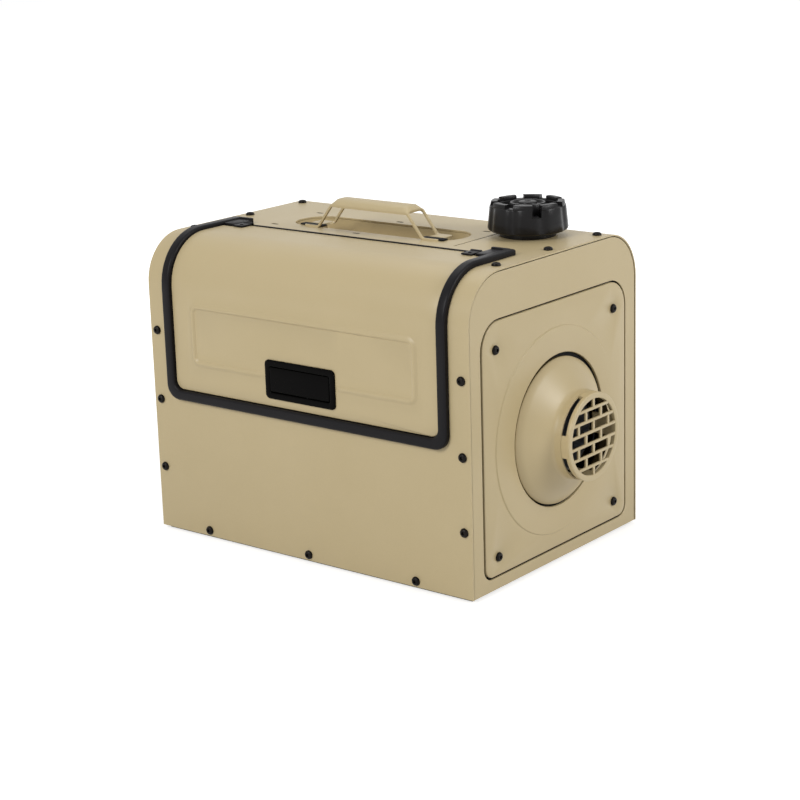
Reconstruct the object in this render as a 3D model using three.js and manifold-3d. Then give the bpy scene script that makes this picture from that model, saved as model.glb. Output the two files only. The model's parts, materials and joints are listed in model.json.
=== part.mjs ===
// A portable diesel air heater in a bent sheet-metal case, in millimetres.
// +X is the hot-air outlet end, -Y is the door side and +Z is up.
// The origin lies under the middle of the case, on the surface that it stands on.
import * as THREE from "three";
import { mergeVertices } from "three/addons/utils/BufferGeometryUtils.js";
import Module from "manifold-3d";

const wasm = await Module();
wasm.setup();

// Case
const case_length = 400;
const case_depth = 281;
const case_height = 304;
const bend_radius = 48;
const sheet = 1.5;
const seat_gap = 0.3;
const overrun = 6;
const pad_thickness = 3;
const pad_inset = 5;
const tray_rim = 16;
const end_flange = 14;
const end_inset = 0.5;
const arc_steps = 5;
const round_steps = 3;

// Screws and the tapped strips behind the sheets
const screw_head_radius = 4.5;
const screw_head_height = 2.6;
const screw_head_bevel = 1.2;
const screw_shank_radius = 2.1;
const screw_hole_radius = 2.7;
const screw_sides = 8;
const strip_width = 8;
const strip_thickness = 3;
const strip_margin = 8;
const row_count = 3;
const side_screw_inset = 8.8;
const side_screw_foot = 65;
const side_screw_drop = 95;
const floor_screw_height = 6;
const floor_screw_inset = 67;
const top_screw_inset = 11;
const top_screw_front = 59.5;
const top_screw_rear = 53.5;

// Vent panel on the outlet end. A foot is a height over the case bottom and a drop is a depth
// under the case top.
const duct_height = 130;
const panel_width = 239.4;
const panel_foot = 13.3;
const panel_drop = 47.3;
const panel_thickness = 1.5;
const panel_top_radius = 26;
const panel_foot_radius = 11;
const panel_gap = 0.7;
const panel_ledge = 7;
const panel_boss_radius = 102;
const panel_boss_height = 1;
const panel_bore_radius = 60;
const ledge_bore_radius = 70;
const panel_screw_reach = 99;
const panel_screw_foot = 31;
const panel_screw_drop = 74;

// Outlet cone, collar and grille
const cone_base_radius = 72;
const cone_neck_radius = 45;
const cone_length = 19;
const cone_lip = 10;
const cone_wall_reach = 2.8;
const collar_radius = 43;
const collar_length = 31;
const collar_wall = 1.5;
const outlet_reach = 40.5;
const grille_thickness = 2.3;
const grille_rim_depth = 4.6;
const grille_bore_radius = 37.2;
const grille_bar = 3;
const grille_tie = 3.4;
const brick_height = 8.3;
const brick_width = 21.9;
const brick_rows = 7;
const full_turn = 360;
const grille_tabs = 4;
const tab_angle = 30;
const tab_turn = 166.5;
const tab_depth = 18;
const tab_wall = 1.5;
const duct_radius = 37.7;
const duct_wall = 1.5;
const duct_overlap = 12;
const duct_end_gap = 2.1;
const round_sides = 32;
const inner_sides = 20;

// Door, its opening and the black frame round it
const frame_inset = 23;
const frame_drop = 163;
const frame_bar = 10.3;
const frame_cover = 6.5;
const frame_proud = 4.8;
const frame_corner_radius = 15;
const tail_length = 16.5;
const door_gap = 0.7;
const door_lip = 6.5;
const hinge_setback = 6.5;
const hinge_clearance = 1.5;
const hinge_radius = 2.6;
const hinge_pin_radius = 1.2;
const hinge_pin_play = 0.2;
const hinge_sides = 12;
const lug_length = 16.7;
const lug_reach = 11.5;
const lug_notch_gap = 2;
const barrel_length = 12;
const leaf_length = 16;
const leaf_thickness = 1.4;
const emboss_inset = 23;
const emboss_drop = 60;
const emboss_tall = 66;
const emboss_height = 1;
const emboss_radius = 11;

// Latch in the door
const latch_width = 88;
const latch_height = 39;
const latch_drop = 105;
const latch_proud = 3;
const latch_corner = 5;
const latch_border = 5;
const latch_depth = 14;
const latch_wall = 1.5;
const paddle_thickness = 3;
const paddle_gap = 0.6;
const paddle_finger_gap = 3;
const paddle_axis_drop = 3;
const paddle_pin_radius = 1.2;
const bolt_width = 12;
const bolt_thickness = 4;
const bolt_engagement = 2.3;
const bolt_stand = 2;
const bolt_setback = 7.5;

// Compartment behind the door
const liner_margin = 1.9;
const liner_floor_drop = 4.5;
const liner_wall = 1.5;
const liner_gap = 2;
const liner_flange = 12;
const controls_width = 124;
const controls_drop = 38;
const controls_height = 66;
const controls_thickness = 7;
const display_width = 52;
const display_height = 24;
const display_thickness = 1.5;
const display_offset = -22;
const display_rise = 30;
const knob_radius = 14;
const knob_length = 14;
const knob_shaft_radius = 3;
const knob_shaft_length = 4;
const knob_offset = 38;
const knob_flutes = 12;
const button_radius = 5;
const button_proud = 2.5;
const button_pocket = 4;
const button_rise = 12;
const button_offsets = [-36, -12];

// Recess in the top and the handle over it
const recess_centre = [-20, 13];
const recess_length = 210;
const recess_width = 54;
const recess_corner = 26;
const recess_depth = 14;
const recess_slope = 12;
const recess_flange = 6;
const handle_centre = [-12, -3.5];
const handle_width = 27;
const handle_sheet = 1.8;
const handle_rise = 25;
const handle_crown = 6;
const grip_half_length = 49;
const foot_half_spread = 67;
const foot_length = 18;
const foot_rise = 2.1;
const leg_width = 3.5;
const foot_pad_width = 12;
const crown_steps = 6;

// Filler neck and cap
const filler_end_inset = 70;
const filler_rear_inset = 85.5;
const neck_radius = 26;
const neck_bore_radius = 22;
const neck_height = 20;
const neck_flange_radius = 28;
const neck_flange_height = 5;
const neck_clearance = 0.4;
const cap_foot_radius = 39.5;
const cap_top_radius = 36;
const cap_chamfer = 3;
const cap_height = 29;
const cap_lobes = 8;
const cap_lobe_depth = 1.6;
const cap_lobe_steps = 8;
const cap_dish_radius = 24;
const cap_dish_depth = 3;
const gasket_thickness = 1.5;

// Tank and its shelf
const tank_length = 244;
const tank_end_gap = 16;
const tank_front_gap = 8;
const tank_rear_gap = 18.5;
const tank_rise = 9.3;
const tank_headroom = 18;
const tank_wall = 3;
const tank_corner = 20;
const spigot_radius = 4;
const spigot_bore_radius = 2;
const spigot_drop = 10;
const shelf_thickness = 1.5;
const shelf_rear_gap = 18.5;
const shelf_skirt = 10;

// Heater unit on the duct axis
const housing_end_gap = 12;
const outlet_room = 72;
const housing_width = 108;
const housing_height = 116;
const housing_corner = 22;
const housing_wall = 3;
const housing_neck_radius = 41;
const housing_neck_length = 14;
const housing_bore_radius = 38;
const intake_bore_radius = 46;
const motor_radius = 22;
const motor_inset = 38;
const motor_length = 42;
const motor_plate = 3;
const motor_window_inner = 26;
const motor_window_outer = 44;
const motor_window_angle = 60;
const motor_windows = 3;
const shaft_radius = 2.5;
const shaft_play = 0.3;
const shaft_inset = 8;
const shaft_stub = 2;
const fan_radius = 44;
const fan_hub_radius = 14;
const fan_inset = 11;
const fan_length = 18;
const fan_blades = 7;
const fan_blade_thickness = 2;
const fan_blade_twist = 35;
const impeller_gap = 9;
const impeller_disc = 2;
const impeller_length = 9;
const impeller_radius = 26;
const impeller_hub_radius = 7;
const impeller_vanes = 8;
const impeller_vane_thickness = 1.6;
const air_case_radius = 38;
const air_case_wall = 2.5;
const air_case_reach = 46;
const exchanger_end_gap = 10;
const exchanger_radius = 30;
const exchanger_bore_radius = 26;
const exchanger_end_wall = 10;
const exchanger_fins = 16;
const exchanger_fin_radius = 49;
const exchanger_fin_thickness = 2.4;
const exchanger_pad_half_width = 15;
const burner_radius = 21;
const burner_wall = 2;
const burner_length = 95;
const burner_flange = 4;
const plug_inset = 21.7;
const plug_radius = 4;
const plug_head_radius = 6;
const plug_head_height = 4;
const plug_reach = 46;
const plug_pocket_radius = 9;
const bracket_left_inset = 42;
const bracket_right_inset = 94;
const bracket_length = 30;
const bracket_half_width = 44;
const bracket_sheet = 2;
const bracket_foot = 12;

// Pipes, pump and lines
const exhaust_inset = 18;
const exhaust_radius = 12;
const exhaust_wall = 1.5;
const intake_pipe_inset = 22;
const intake_pipe_radius = 10;
const pipe_wall = 1.2;
const pipe_height = 40;
const pipe_bend = 34;
const pipe_reach = 20;
const pipe_play = 1.2;
const pipe_steps = 12;
const pump_rear_inset = 28.5;
const pump_height = 25;
const pump_feed_gap = 27;
const pump_length = 65;
const pump_radius = 14;
const pump_fitting_radius = 4;
const pump_fitting_length = 13;
const clamp_inset = 20;
const clamp_length = 24;
const clamp_wall = 3;
const line_radius = 2.5;
const line_bend = 14;
const line_steps = 12;
const line_play = 0.8;
const line_sides = 6;
const feed_inset = 14.7;
const feed_height = 95;
const pipe_sides = 12;

// Left end: grille, power inlet, and the control board inside
const intake_hole_radius = 52;
const intake_ring_radius = 60;
const intake_ring_thickness = 2.5;
const intake_bar = 3;
const intake_slot = 6;
const intake_rows = 5;
const inlet_rear_inset = 40.5;
const inlet_foot = 60;
const inlet_width = 30;
const inlet_height = 22;
const inlet_flange = 4;
const inlet_depth = 16;
const inlet_wall = 2;
const inlet_pin_radius = 1.5;
const board_end_inset = 80;
const board_length = 84;
const board_front_inset = 18.5;
const board_width = 46;
const board_thickness = 1.6;
const board_standoff = 7;
const board_standoff_radius = 3;
const board_inset = 6;
const board_part_height = 12;
const board_part_shares = [[0.2, 0.35, 0.3, 0.6], [0.5, 0.7, 0.2, 0.45], [0.76, 0.9, 0.35, 0.8]];

// Values worked out from the sizes above
const half_length = case_length / 2;
const half_depth = case_depth / 2;
const case_bottom = pad_thickness + seat_gap;
const up = (height) => case_bottom + height;
const case_top = up(case_height);
const lining = sheet + seat_gap;
const end_face = half_length - end_inset;
const end_back = end_face - sheet;
const duct_z = up(duct_height);
const panel_back = end_back + seat_gap;
const panel_face = panel_back + panel_thickness;
const boss_face = panel_face + panel_boss_height;
const cone_back = boss_face + seat_gap;
const outlet_face = cone_back + outlet_reach;
const down = (drop) => case_top - drop;
const frame_half_width = half_length - frame_inset;
const frame_inner = frame_half_width - frame_bar;
const frame_low = down(frame_drop);
const frame_sill = frame_low + frame_bar;
const opening_half_width = frame_half_width - frame_cover;
const opening_low = frame_low + frame_cover;
const door_half_width = frame_inner - door_gap;
const door_low = frame_sill + door_gap;
const inner_corner_radius = frame_corner_radius - frame_bar / 2;
const liner_half_width = opening_half_width + liner_margin;
const liner_floor = opening_low - liner_floor_drop;
const liner_back = -housing_width / 2 - liner_gap;
const hinge_line = liner_back + hinge_setback;
const hinge_height = case_top + seat_gap + hinge_radius;
const door_tail = hinge_line - hinge_clearance;
const opening_tail = hinge_line - seat_gap;
const frame_tail = hinge_line + tail_length;
const lug_front = hinge_line - lug_reach;
const lug_inner = frame_inner - lug_length;
const housing_left = housing_end_gap - half_length;
const housing_right = half_length - outlet_room;
const motor_left = housing_left + motor_inset;
const motor_right = motor_left + motor_length;
const air_case_right = motor_right + air_case_reach;
const exchanger_left = air_case_right + seat_gap;
const exchanger_right = housing_right - exchanger_end_gap;
const exhaust_place = exchanger_right - exhaust_inset;
const intake_pipe_place = air_case_right - intake_pipe_inset;
const feed_place = exchanger_left + feed_inset;
const pump_y = half_depth - pump_rear_inset;
const pump_z = up(pump_height);
const pump_left = feed_place + pump_feed_gap;
const pump_right = pump_left + pump_length;
const supply_place = pump_right + pump_fitting_length + line_bend + seat_gap + seat_gap;
const tank_foot = duct_z + housing_height / 2 + tank_rise;
const tank_top = down(tank_headroom);
const filler_x = half_length - filler_end_inset;
const filler_y = half_depth - filler_rear_inset;
const neck_top = case_top + neck_height;
const cap_foot = case_top + neck_flange_height + seat_gap + seat_gap;

// Turns a closed geometry into a solid whose shared corners are merged.
function solidOf(geometry) {
  geometry.deleteAttribute("normal");
  geometry.deleteAttribute("uv");
  const merged = mergeVertices(geometry);
  const corners = merged.index ? merged.index.array : merged.attributes.position.array.map((_, i) => i);
  const faces = [];
  for (let i = 0; i < corners.length; i += 3) {
    const [a, b, c] = [corners[i], corners[i + 1], corners[i + 2]];
    if (a !== b && b !== c && a !== c) faces.push(a, b, c);
  }
  const mesh = new wasm.Mesh({
    numProp: 3,
    vertProperties: new Float32Array(merged.attributes.position.array),
    triVerts: new Uint32Array(faces),
  });
  return new wasm.Manifold(mesh);
}

const join = (first, ...others) => others.reduce((whole, other) => whole.add(other), first);
const cut = (first, ...others) => others.reduce((whole, other) => whole.subtract(other), first);

const axis_x = new THREE.Vector3(1, 0, 0);
const axis_y = new THREE.Vector3(0, 1, 0);
const axis_z = new THREE.Vector3(0, 0, 1);
const along_x = new THREE.Matrix4().makeBasis(axis_y, axis_z, axis_x);
const along_y = new THREE.Matrix4().makeBasis(axis_x, axis_z, axis_y.clone().negate());
const spun_x = new THREE.Matrix4().makeBasis(axis_y, axis_x, axis_z.clone().negate());
const spun_z = new THREE.Matrix4().makeBasis(axis_x, axis_z, axis_y.clone().negate());

// Extrusions: along X of an outline in (y, z), along Y of one in (x, z), along Z of one in (x, y).
function extrude(shape, depth) {
  return new THREE.ExtrudeGeometry(shape, { depth, bevelEnabled: false, curveSegments: arc_steps });
}

function prismX(shape, from, to) {
  return solidOf(extrude(shape, to - from).applyMatrix4(along_x).translate(from, 0, 0));
}

function prismY(shape, from, to) {
  return solidOf(extrude(shape, to - from).applyMatrix4(along_y).translate(0, to, 0));
}

function prismZ(shape, from, to) {
  return solidOf(extrude(shape, to - from).translate(0, 0, from));
}

function block([x0, x1], [y0, y1], [z0, z1]) {
  const box = new THREE.BoxGeometry(x1 - x0, y1 - y0, z1 - z0);
  return solidOf(box.translate((x0 + x1) / 2, (y0 + y1) / 2, (z0 + z1) / 2));
}

function disc(radius, sides, u = 0, v = 0) {
  const points = [];
  for (let i = 0; i < sides; i++) {
    const turn = (2 * Math.PI * i) / sides;
    points.push(new THREE.Vector2(u + radius * Math.cos(turn), v + radius * Math.sin(turn)));
  }
  return new THREE.Shape(points);
}

const rodX = (radius, from, to, y, z, sides) => prismX(disc(radius, sides, y, z), from, to);
const rodY = (radius, from, to, x, z, sides) => prismY(disc(radius, sides, x, z), from, to);
const rodZ = (radius, from, to, x, y, sides) => prismZ(disc(radius, sides, x, y), from, to);

// A closed outline of [distance along the axis, radius] points, spun about an axis.
function spin(points, matrix, sides) {
  const outline = points.map(([along, radius]) => new THREE.Vector2(radius, along));
  if (THREE.ShapeUtils.area(outline) < 0) outline.reverse();
  outline.push(outline[0].clone());
  return solidOf(new THREE.LatheGeometry(outline, sides).applyMatrix4(matrix));
}

const spinX = (points, y, z, sides = round_sides) => spin(points, spun_x, sides).translate([0, y, z]);
const spinZ = (points, x, y, sides = round_sides) => spin(points, spun_z, sides).translate([x, y, 0]);

// A rectangle with a radius for its two low corners and one for its two high corners.
function plate([u0, u1], [v0, v1], low, high) {
  const shape = new THREE.Shape();
  shape.moveTo(u0 + low, v0);
  shape.lineTo(u1 - low, v0);
  if (low > 0) shape.absarc(u1 - low, v0 + low, low, -Math.PI / 2, 0, false);
  shape.lineTo(u1, v1 - high);
  if (high > 0) shape.absarc(u1 - high, v1 - high, high, 0, Math.PI / 2, false);
  shape.lineTo(u0 + high, v1);
  if (high > 0) shape.absarc(u0 + high, v1 - high, high, Math.PI / 2, Math.PI, false);
  shape.lineTo(u0, v0 + low);
  if (low > 0) shape.absarc(u0 + low, v0 + low, low, Math.PI, 1.5 * Math.PI, false);
  return shape;
}

// The same rectangle as a ring of points, for lofting.
function plateRing([u0, u1], [v0, v1], radius, z) {
  const corners = [[u1 - radius, v0 + radius], [u1 - radius, v1 - radius]];
  corners.push([u0 + radius, v1 - radius], [u0 + radius, v0 + radius]);
  const ring = [];
  corners.forEach(([u, v], quarter) => {
    for (let i = 0; i <= round_steps; i++) {
      const turn = ((quarter - 1 + i / round_steps) * Math.PI) / 2;
      ring.push([u + radius * Math.cos(turn), v + radius * Math.sin(turn), z]);
    }
  });
  return ring;
}

// Joins rings of equally many points, from the lowest to the highest, into one closed solid.
function loft(rings) {
  const count = rings[0].length;
  const middle = (ring) => ring.reduce((sum, p) => sum.map((s, i) => s + p[i] / count), [0, 0, 0]);
  const positions = [...rings.flat(), middle(rings[0]), middle(rings[rings.length - 1])].flat();
  const low = count * rings.length;
  const top = low - count;
  const faces = [];
  for (let i = 0; i < count; i++) {
    const next = (i + 1) % count;
    faces.push(low, next, i, low + 1, top + i, top + next);
    for (let level = 0; level < top; level += count) {
      const [a, b] = [level + i, level + next];
      faces.push(a, b, b + count, a, b + count, a + count);
    }
  }
  const geometry = new THREE.BufferGeometry();
  geometry.setAttribute("position", new THREE.Float32BufferAttribute(positions, 3));
  geometry.setIndex(faces);
  return solidOf(geometry);
}

// The bent sheet's section in (y, z): front, front bend, top, rear bend and rear, between two
// distances outside the case surface.
function wrapBand(outer, inner, foot) {
  const shape = new THREE.Shape();
  const bend_y = half_depth - bend_radius;
  const bend_z = case_top - bend_radius;
  shape.moveTo(-half_depth - outer, foot);
  shape.lineTo(-half_depth - outer, bend_z);
  shape.absarc(-bend_y, bend_z, bend_radius + outer, Math.PI, Math.PI / 2, true);
  shape.lineTo(bend_y, case_top + outer);
  shape.absarc(bend_y, bend_z, bend_radius + outer, Math.PI / 2, 0, true);
  shape.lineTo(half_depth + outer, foot);
  shape.lineTo(half_depth + inner, foot);
  shape.lineTo(half_depth + inner, bend_z);
  shape.absarc(bend_y, bend_z, bend_radius + inner, 0, Math.PI / 2, false);
  shape.lineTo(-bend_y, case_top + inner);
  shape.absarc(-bend_y, bend_z, bend_radius + inner, Math.PI / 2, Math.PI, false);
  shape.lineTo(-half_depth - inner, foot);
  return shape;
}

// The same section's front and top only, which end at a tail on the top.
function frontBand(outer, inner, foot, tail) {
  const shape = new THREE.Shape();
  const bend_y = bend_radius - half_depth;
  const bend_z = case_top - bend_radius;
  shape.moveTo(-half_depth - outer, foot);
  shape.lineTo(-half_depth - outer, bend_z);
  shape.absarc(bend_y, bend_z, bend_radius + outer, Math.PI, Math.PI / 2, true);
  shape.lineTo(tail, case_top + outer);
  shape.lineTo(tail, case_top + inner);
  shape.lineTo(bend_y, case_top + inner);
  shape.absarc(bend_y, bend_z, bend_radius + inner, Math.PI / 2, Math.PI, false);
  shape.lineTo(-half_depth - inner, foot);
  return shape;
}

// Everything inside that front and top, down to a floor and back to a wall.
function frontRegion(outer, floor, back) {
  const shape = new THREE.Shape();
  const bend_y = bend_radius - half_depth;
  const bend_z = case_top - bend_radius;
  shape.moveTo(-half_depth - outer, floor);
  shape.lineTo(-half_depth - outer, bend_z);
  shape.absarc(bend_y, bend_z, bend_radius + outer, Math.PI, Math.PI / 2, true);
  shape.lineTo(back, case_top + outer);
  shape.lineTo(back, floor);
  return shape;
}

// A column through the front, open at the top: an opening or an outline in (x, z).
function frontWindow(half_width, foot, radius, from, to) {
  return prismY(plate([-half_width, half_width], [foot, case_top + overrun], radius, 0), from, to);
}

const group = new THREE.Group();

function add(name, solid, color, roughness = 0.5, metalness = 0) {
  const mesh = solid.getMesh();
  const geometry = new THREE.BufferGeometry();
  geometry.setAttribute("position", new THREE.BufferAttribute(mesh.vertProperties, 3));
  geometry.setIndex(new THREE.BufferAttribute(mesh.triVerts, 1));
  geometry.computeVertexNormals();
  const part = new THREE.Mesh(geometry, new THREE.MeshStandardMaterial({ color, roughness, metalness }));
  part.name = name;
  group.add(part);
}

const sand = 0xbeac82;
const black = 0x222022;
const screw_black = 0x28231c;
const steel = 0xa9abad;
const aluminium = 0xb9bcbf;
const rubber = 0x1a1a1b;
const tank_white = 0xd8d6cd;
const board_green = 0x2f6b3c;

// Screws. A row is its screws and the tapped strip that they clamp, one behind the other.
function spaced(from, to) {
  return Array.from({ length: row_count }, (_, i) => from + ((to - from) * i) / (row_count - 1));
}
const side_places = spaced(up(side_screw_foot), down(side_screw_drop));
const floor_places = spaced(floor_screw_inset - half_length, half_length - floor_screw_inset);
const top_places = spaced(top_screw_front - half_depth, half_depth - top_screw_rear);
const last_screw = row_count - 1;
const strip_face = lining + sheet + seat_gap;
const side_x = half_length - side_screw_inset;
const top_x = half_length - top_screw_inset;
const floor_z = up(floor_screw_height);

function screwProfile(seat, tip) {
  const crown = seat + screw_head_height;
  return [
    [tip, 0],
    [tip, screw_shank_radius],
    [seat, screw_shank_radius],
    [seat, screw_head_radius],
    [crown, screw_head_radius - screw_head_bevel],
    [crown, 0],
  ];
}

// Each place is a point on the sheet's outer surface, and turn points the heads outward from +Z.
function screws(places, turn) {
  const profile = screwProfile(seat_gap, -strip_face - strip_thickness / 2);
  const each = places.map((place) => spinZ(profile, 0, 0, screw_sides).rotate(turn).translate(place));
  return join(...each);
}

function screwHoles(places, turn) {
  const each = places.map((place) => {
    const hole = rodZ(screw_hole_radius, -strip_face, overrun, 0, 0, screw_sides);
    return hole.rotate(turn).translate(place);
  });
  return join(...each);
}

const to_front = [90, 0, 0];
const to_rear = [-90, 0, 0];
const to_top = [0, 0, 0];
const rows = {};
for (const [side, sign] of [["left", -1], ["right", 1]]) {
  for (const [face, facing, turn] of [["front", -1, to_front], ["rear", 1, to_rear]]) {
    const x = sign * side_x;
    const inner = facing * (half_depth - strip_face);
    const outer = inner - facing * strip_thickness;
    rows[`screws_${face}_${side}`] = {
      places: side_places.map((z) => [x, facing * half_depth, z]),
      turn,
      strip: block(
        [x - strip_width / 2, x + strip_width / 2],
        [Math.min(inner, outer), Math.max(inner, outer)],
        [side_places[0] - strip_margin, side_places[last_screw] + strip_margin],
      ),
    };
  }
  const x = sign * top_x;
  rows[`screws_top_${side}`] = {
    places: top_places.map((y) => [x, y, case_top]),
    turn: to_top,
    strip: block(
      [x - strip_width / 2, x + strip_width / 2],
      [top_places[0] - strip_margin, top_places[last_screw] + strip_margin],
      [case_top - strip_face - strip_thickness, case_top - strip_face],
    ),
  };
}
for (const [face, facing, turn] of [["front", -1, to_front], ["rear", 1, to_rear]]) {
  const inner = facing * (half_depth - strip_face);
  const outer = inner - facing * strip_thickness;
  rows[`screws_floor_${face}`] = {
    places: floor_places.map((x) => [x, facing * half_depth, floor_z]),
    turn,
    strip: block(
      [floor_places[0] - strip_margin, floor_places[last_screw] + strip_margin],
      [Math.min(inner, outer), Math.max(inner, outer)],
      [floor_z - strip_width / 2, floor_z + strip_width / 2],
    ),
  };
}
for (const [name, row] of Object.entries(rows)) {
  add(name, join(row.strip, screws(row.places, row.turn)), screw_black, 0.45, 0.3);
}
const row_holes = join(...Object.values(rows).map((row) => screwHoles(row.places, row.turn)));

// Rubber pad under the case, and the tray that the case stands on.
const pad_x = half_length - pad_inset;
const pad_y = half_depth - pad_inset;
add("base_pad", block([-pad_x, pad_x], [-pad_y, pad_y], [0, pad_thickness]), rubber, 0.9);

const tray_x = end_back - seat_gap;
const tray_y = half_depth - lining;
const tray_rim_x = half_length - end_inset - end_flange - seat_gap;
const tray_top = up(tray_rim);
const rim_outer = [tray_y - sheet, tray_y];
const rim_rear = block([-tray_rim_x, tray_rim_x], rim_outer, [case_bottom, tray_top]);
const rim_front = rim_rear.mirror([0, 1, 0]);
const tray_floor = block([-tray_x, tray_x], [-tray_y, tray_y], [case_bottom, up(sheet)]);
add("base_tray", cut(join(tray_floor, rim_rear, rim_front), row_holes), sand, 0.5);

// Pipes leave through the rear, low down.
const exhaust_hole = exhaust_radius + pipe_play;
const intake_hole = intake_pipe_radius + pipe_play;
const rear_hole = (radius, x) =>
  rodY(radius, tray_y - overrun, half_depth + overrun, x, up(pipe_height), round_sides / 2);

// The wrap: front, top and rear in one bent sheet, with the openings that the photo shows.
const opening = frontWindow(
  opening_half_width,
  opening_low,
  frame_corner_radius,
  -half_depth - overrun,
  opening_tail,
);
const recess_x = [recess_centre[0] - recess_length / 2, recess_centre[0] + recess_length / 2];
const recess_y = [recess_centre[1] - recess_width / 2, recess_centre[1] + recess_width / 2];
const recess_window = prismZ(
  plate(recess_x, recess_y, recess_corner, recess_corner),
  case_top - bend_radius,
  case_top + overrun,
);
const filler_hole = rodZ(
  neck_radius + neck_clearance,
  case_top - bend_radius,
  case_top + overrun,
  filler_x,
  filler_y,
  round_sides,
);
const wrap = cut(
  prismX(wrapBand(0, -sheet, case_bottom), -half_length, half_length),
  opening,
  recess_window,
  filler_hole,
  row_holes,
  rear_hole(exhaust_hole, exhaust_place),
  rear_hole(intake_hole, intake_pipe_place),
);
add("case_wrap", wrap, sand, 0.5);

// End plates: flat pans whose flanges lie inside the wrap.
function endPan() {
  const outline = plate(
    [-tray_y, tray_y],
    [case_bottom, case_top - lining],
    0,
    bend_radius - lining,
  );
  const flange = wrapBand(-lining, -lining - sheet, tray_top + seat_gap);
  const face = prismX(outline, end_back, end_face);
  return join(face, prismX(flange, end_face - end_flange, end_face - sheet / 2));
}

const panel_y = panel_width / 2;
const panel_z = [up(panel_foot), down(panel_drop)];
const panel_opening = plate(
  [-panel_y - panel_gap, panel_y + panel_gap],
  [panel_z[0] - panel_gap, panel_z[1] + panel_gap],
  panel_foot_radius + panel_gap,
  panel_top_radius + panel_gap,
);
const ledge_outline = plate(
  [-panel_y - panel_ledge, panel_y + panel_ledge],
  [panel_z[0] - panel_ledge, panel_z[1] + panel_ledge],
  panel_foot_radius + panel_ledge,
  panel_top_radius + panel_ledge,
);
const panel_places = [];
for (const y of [-panel_screw_reach, panel_screw_reach]) {
  for (const z of [up(panel_screw_foot), down(panel_screw_drop)]) panel_places.push([y, z]);
}
const panel_holes = join(
  ...panel_places.map(([y, z]) =>
    rodX(screw_hole_radius, end_back - overrun, boss_face + overrun, y, z, screw_sides)),
);
const ledge = prismX(ledge_outline, end_back - sheet, end_back + sheet / 2);
const panel_seat = prismX(panel_opening, end_back, end_face + overrun);
const ledge_bore = rodX(ledge_bore_radius, end_back - overrun, end_face, 0, duct_z, round_sides);
const right_plate = cut(join(endPan(), ledge), panel_seat, ledge_bore, row_holes, panel_holes);
add("right_end_plate", right_plate, sand, 0.5);

const intake_window = rodX(
  intake_hole_radius,
  -end_face - overrun,
  overrun - end_back,
  0,
  duct_z,
  inner_sides,
);
const inlet_middle = half_depth - inlet_rear_inset;
const inlet_y = [inlet_middle - inlet_width / 2, inlet_middle + inlet_width / 2];
const inlet_z = [up(inlet_foot) - inlet_height / 2, up(inlet_foot) + inlet_height / 2];
const inlet_window = block([-end_face - overrun, overrun - end_back], inlet_y, inlet_z);
const left_plate = cut(endPan().mirror([1, 0, 0]), intake_window, inlet_window, row_holes);
add("left_end_plate", left_plate, sand, 0.5);

// Vent panel, its screws and the frame that they clamp behind the ledge.
const panel_outline = plate([-panel_y, panel_y], panel_z, panel_foot_radius, panel_top_radius);
const panel_boss = rodX(
  panel_boss_radius,
  panel_face - panel_thickness / 2,
  boss_face,
  0,
  duct_z,
  round_sides,
);
const panel = cut(
  join(
    prismX(panel_outline, panel_back, panel_face),
    panel_boss.intersect(prismX(panel_outline, panel_back, boss_face + overrun)),
  ),
  rodX(panel_bore_radius, panel_back - overrun, boss_face + overrun, 0, duct_z, round_sides),
  panel_holes,
);
add("vent_panel", panel, sand, 0.5);

const nut_face = end_back - sheet - seat_gap;
const nut_x = [nut_face - strip_thickness, nut_face];
const nut_y = [panel_screw_reach - strip_width / 2, panel_screw_reach + strip_width / 2];
const nut_z = [up(panel_screw_foot) - strip_margin, down(panel_screw_drop) + strip_margin];
const nut_side = block(nut_x, nut_y, nut_z);
const nut_bar = block(nut_x, [-nut_y[1], nut_y[1]], [nut_z[0], nut_z[0] + strip_width]);
const nut_frame = join(nut_side, nut_side.mirror([0, 1, 0]), nut_bar);
const panel_screw_profile = screwProfile(panel_face + seat_gap, nut_face - strip_thickness / 2);
const panel_screws = panel_places.map(([y, z]) => spinX(panel_screw_profile, y, z, screw_sides));
add("panel_screws", join(nut_frame, ...panel_screws), screw_black, 0.45, 0.3);

// Outlet: a spun cone with its collar, and a slotted cap with a brick-pattern grille.
const neck_x = cone_back + cone_length;
const collar_end = cone_back + collar_length;
const cone = spinX([
  [cone_back, cone_base_radius - cone_lip],
  [cone_back, cone_base_radius],
  [cone_back + collar_wall, cone_base_radius],
  [neck_x, cone_neck_radius],
  [neck_x + collar_wall, collar_radius],
  [collar_end, collar_radius],
  [collar_end, collar_radius - collar_wall],
  [neck_x + collar_wall, collar_radius - collar_wall],
  [neck_x, cone_neck_radius - cone_wall_reach],
  [cone_back + collar_wall, cone_base_radius - cone_wall_reach],
  [cone_back + collar_wall, cone_base_radius - cone_lip],
], 0, duct_z);
add("outlet_cone", cone, sand, 0.45);

function brickHoles(from, to) {
  const holes = [];
  const pitch_z = brick_height + grille_bar;
  const pitch_y = brick_width + grille_tie;
  const rows_up = (brick_rows - 1) / 2;
  for (let row = -rows_up; row <= rows_up; row++) {
    const z = duct_z + row * pitch_z;
    const shift = Math.abs(row % 2) * (pitch_y / 2);
    for (let column = -2; column <= 2; column++) {
      const y = shift + column * pitch_y;
      const span_y = [y - brick_width / 2, y + brick_width / 2];
      holes.push(block([from, to], span_y, [z - brick_height / 2, z + brick_height / 2]));
    }
  }
  const bore = rodX(grille_bore_radius, from, to, 0, duct_z, round_sides);
  return join(...holes).intersect(bore);
}

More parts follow.
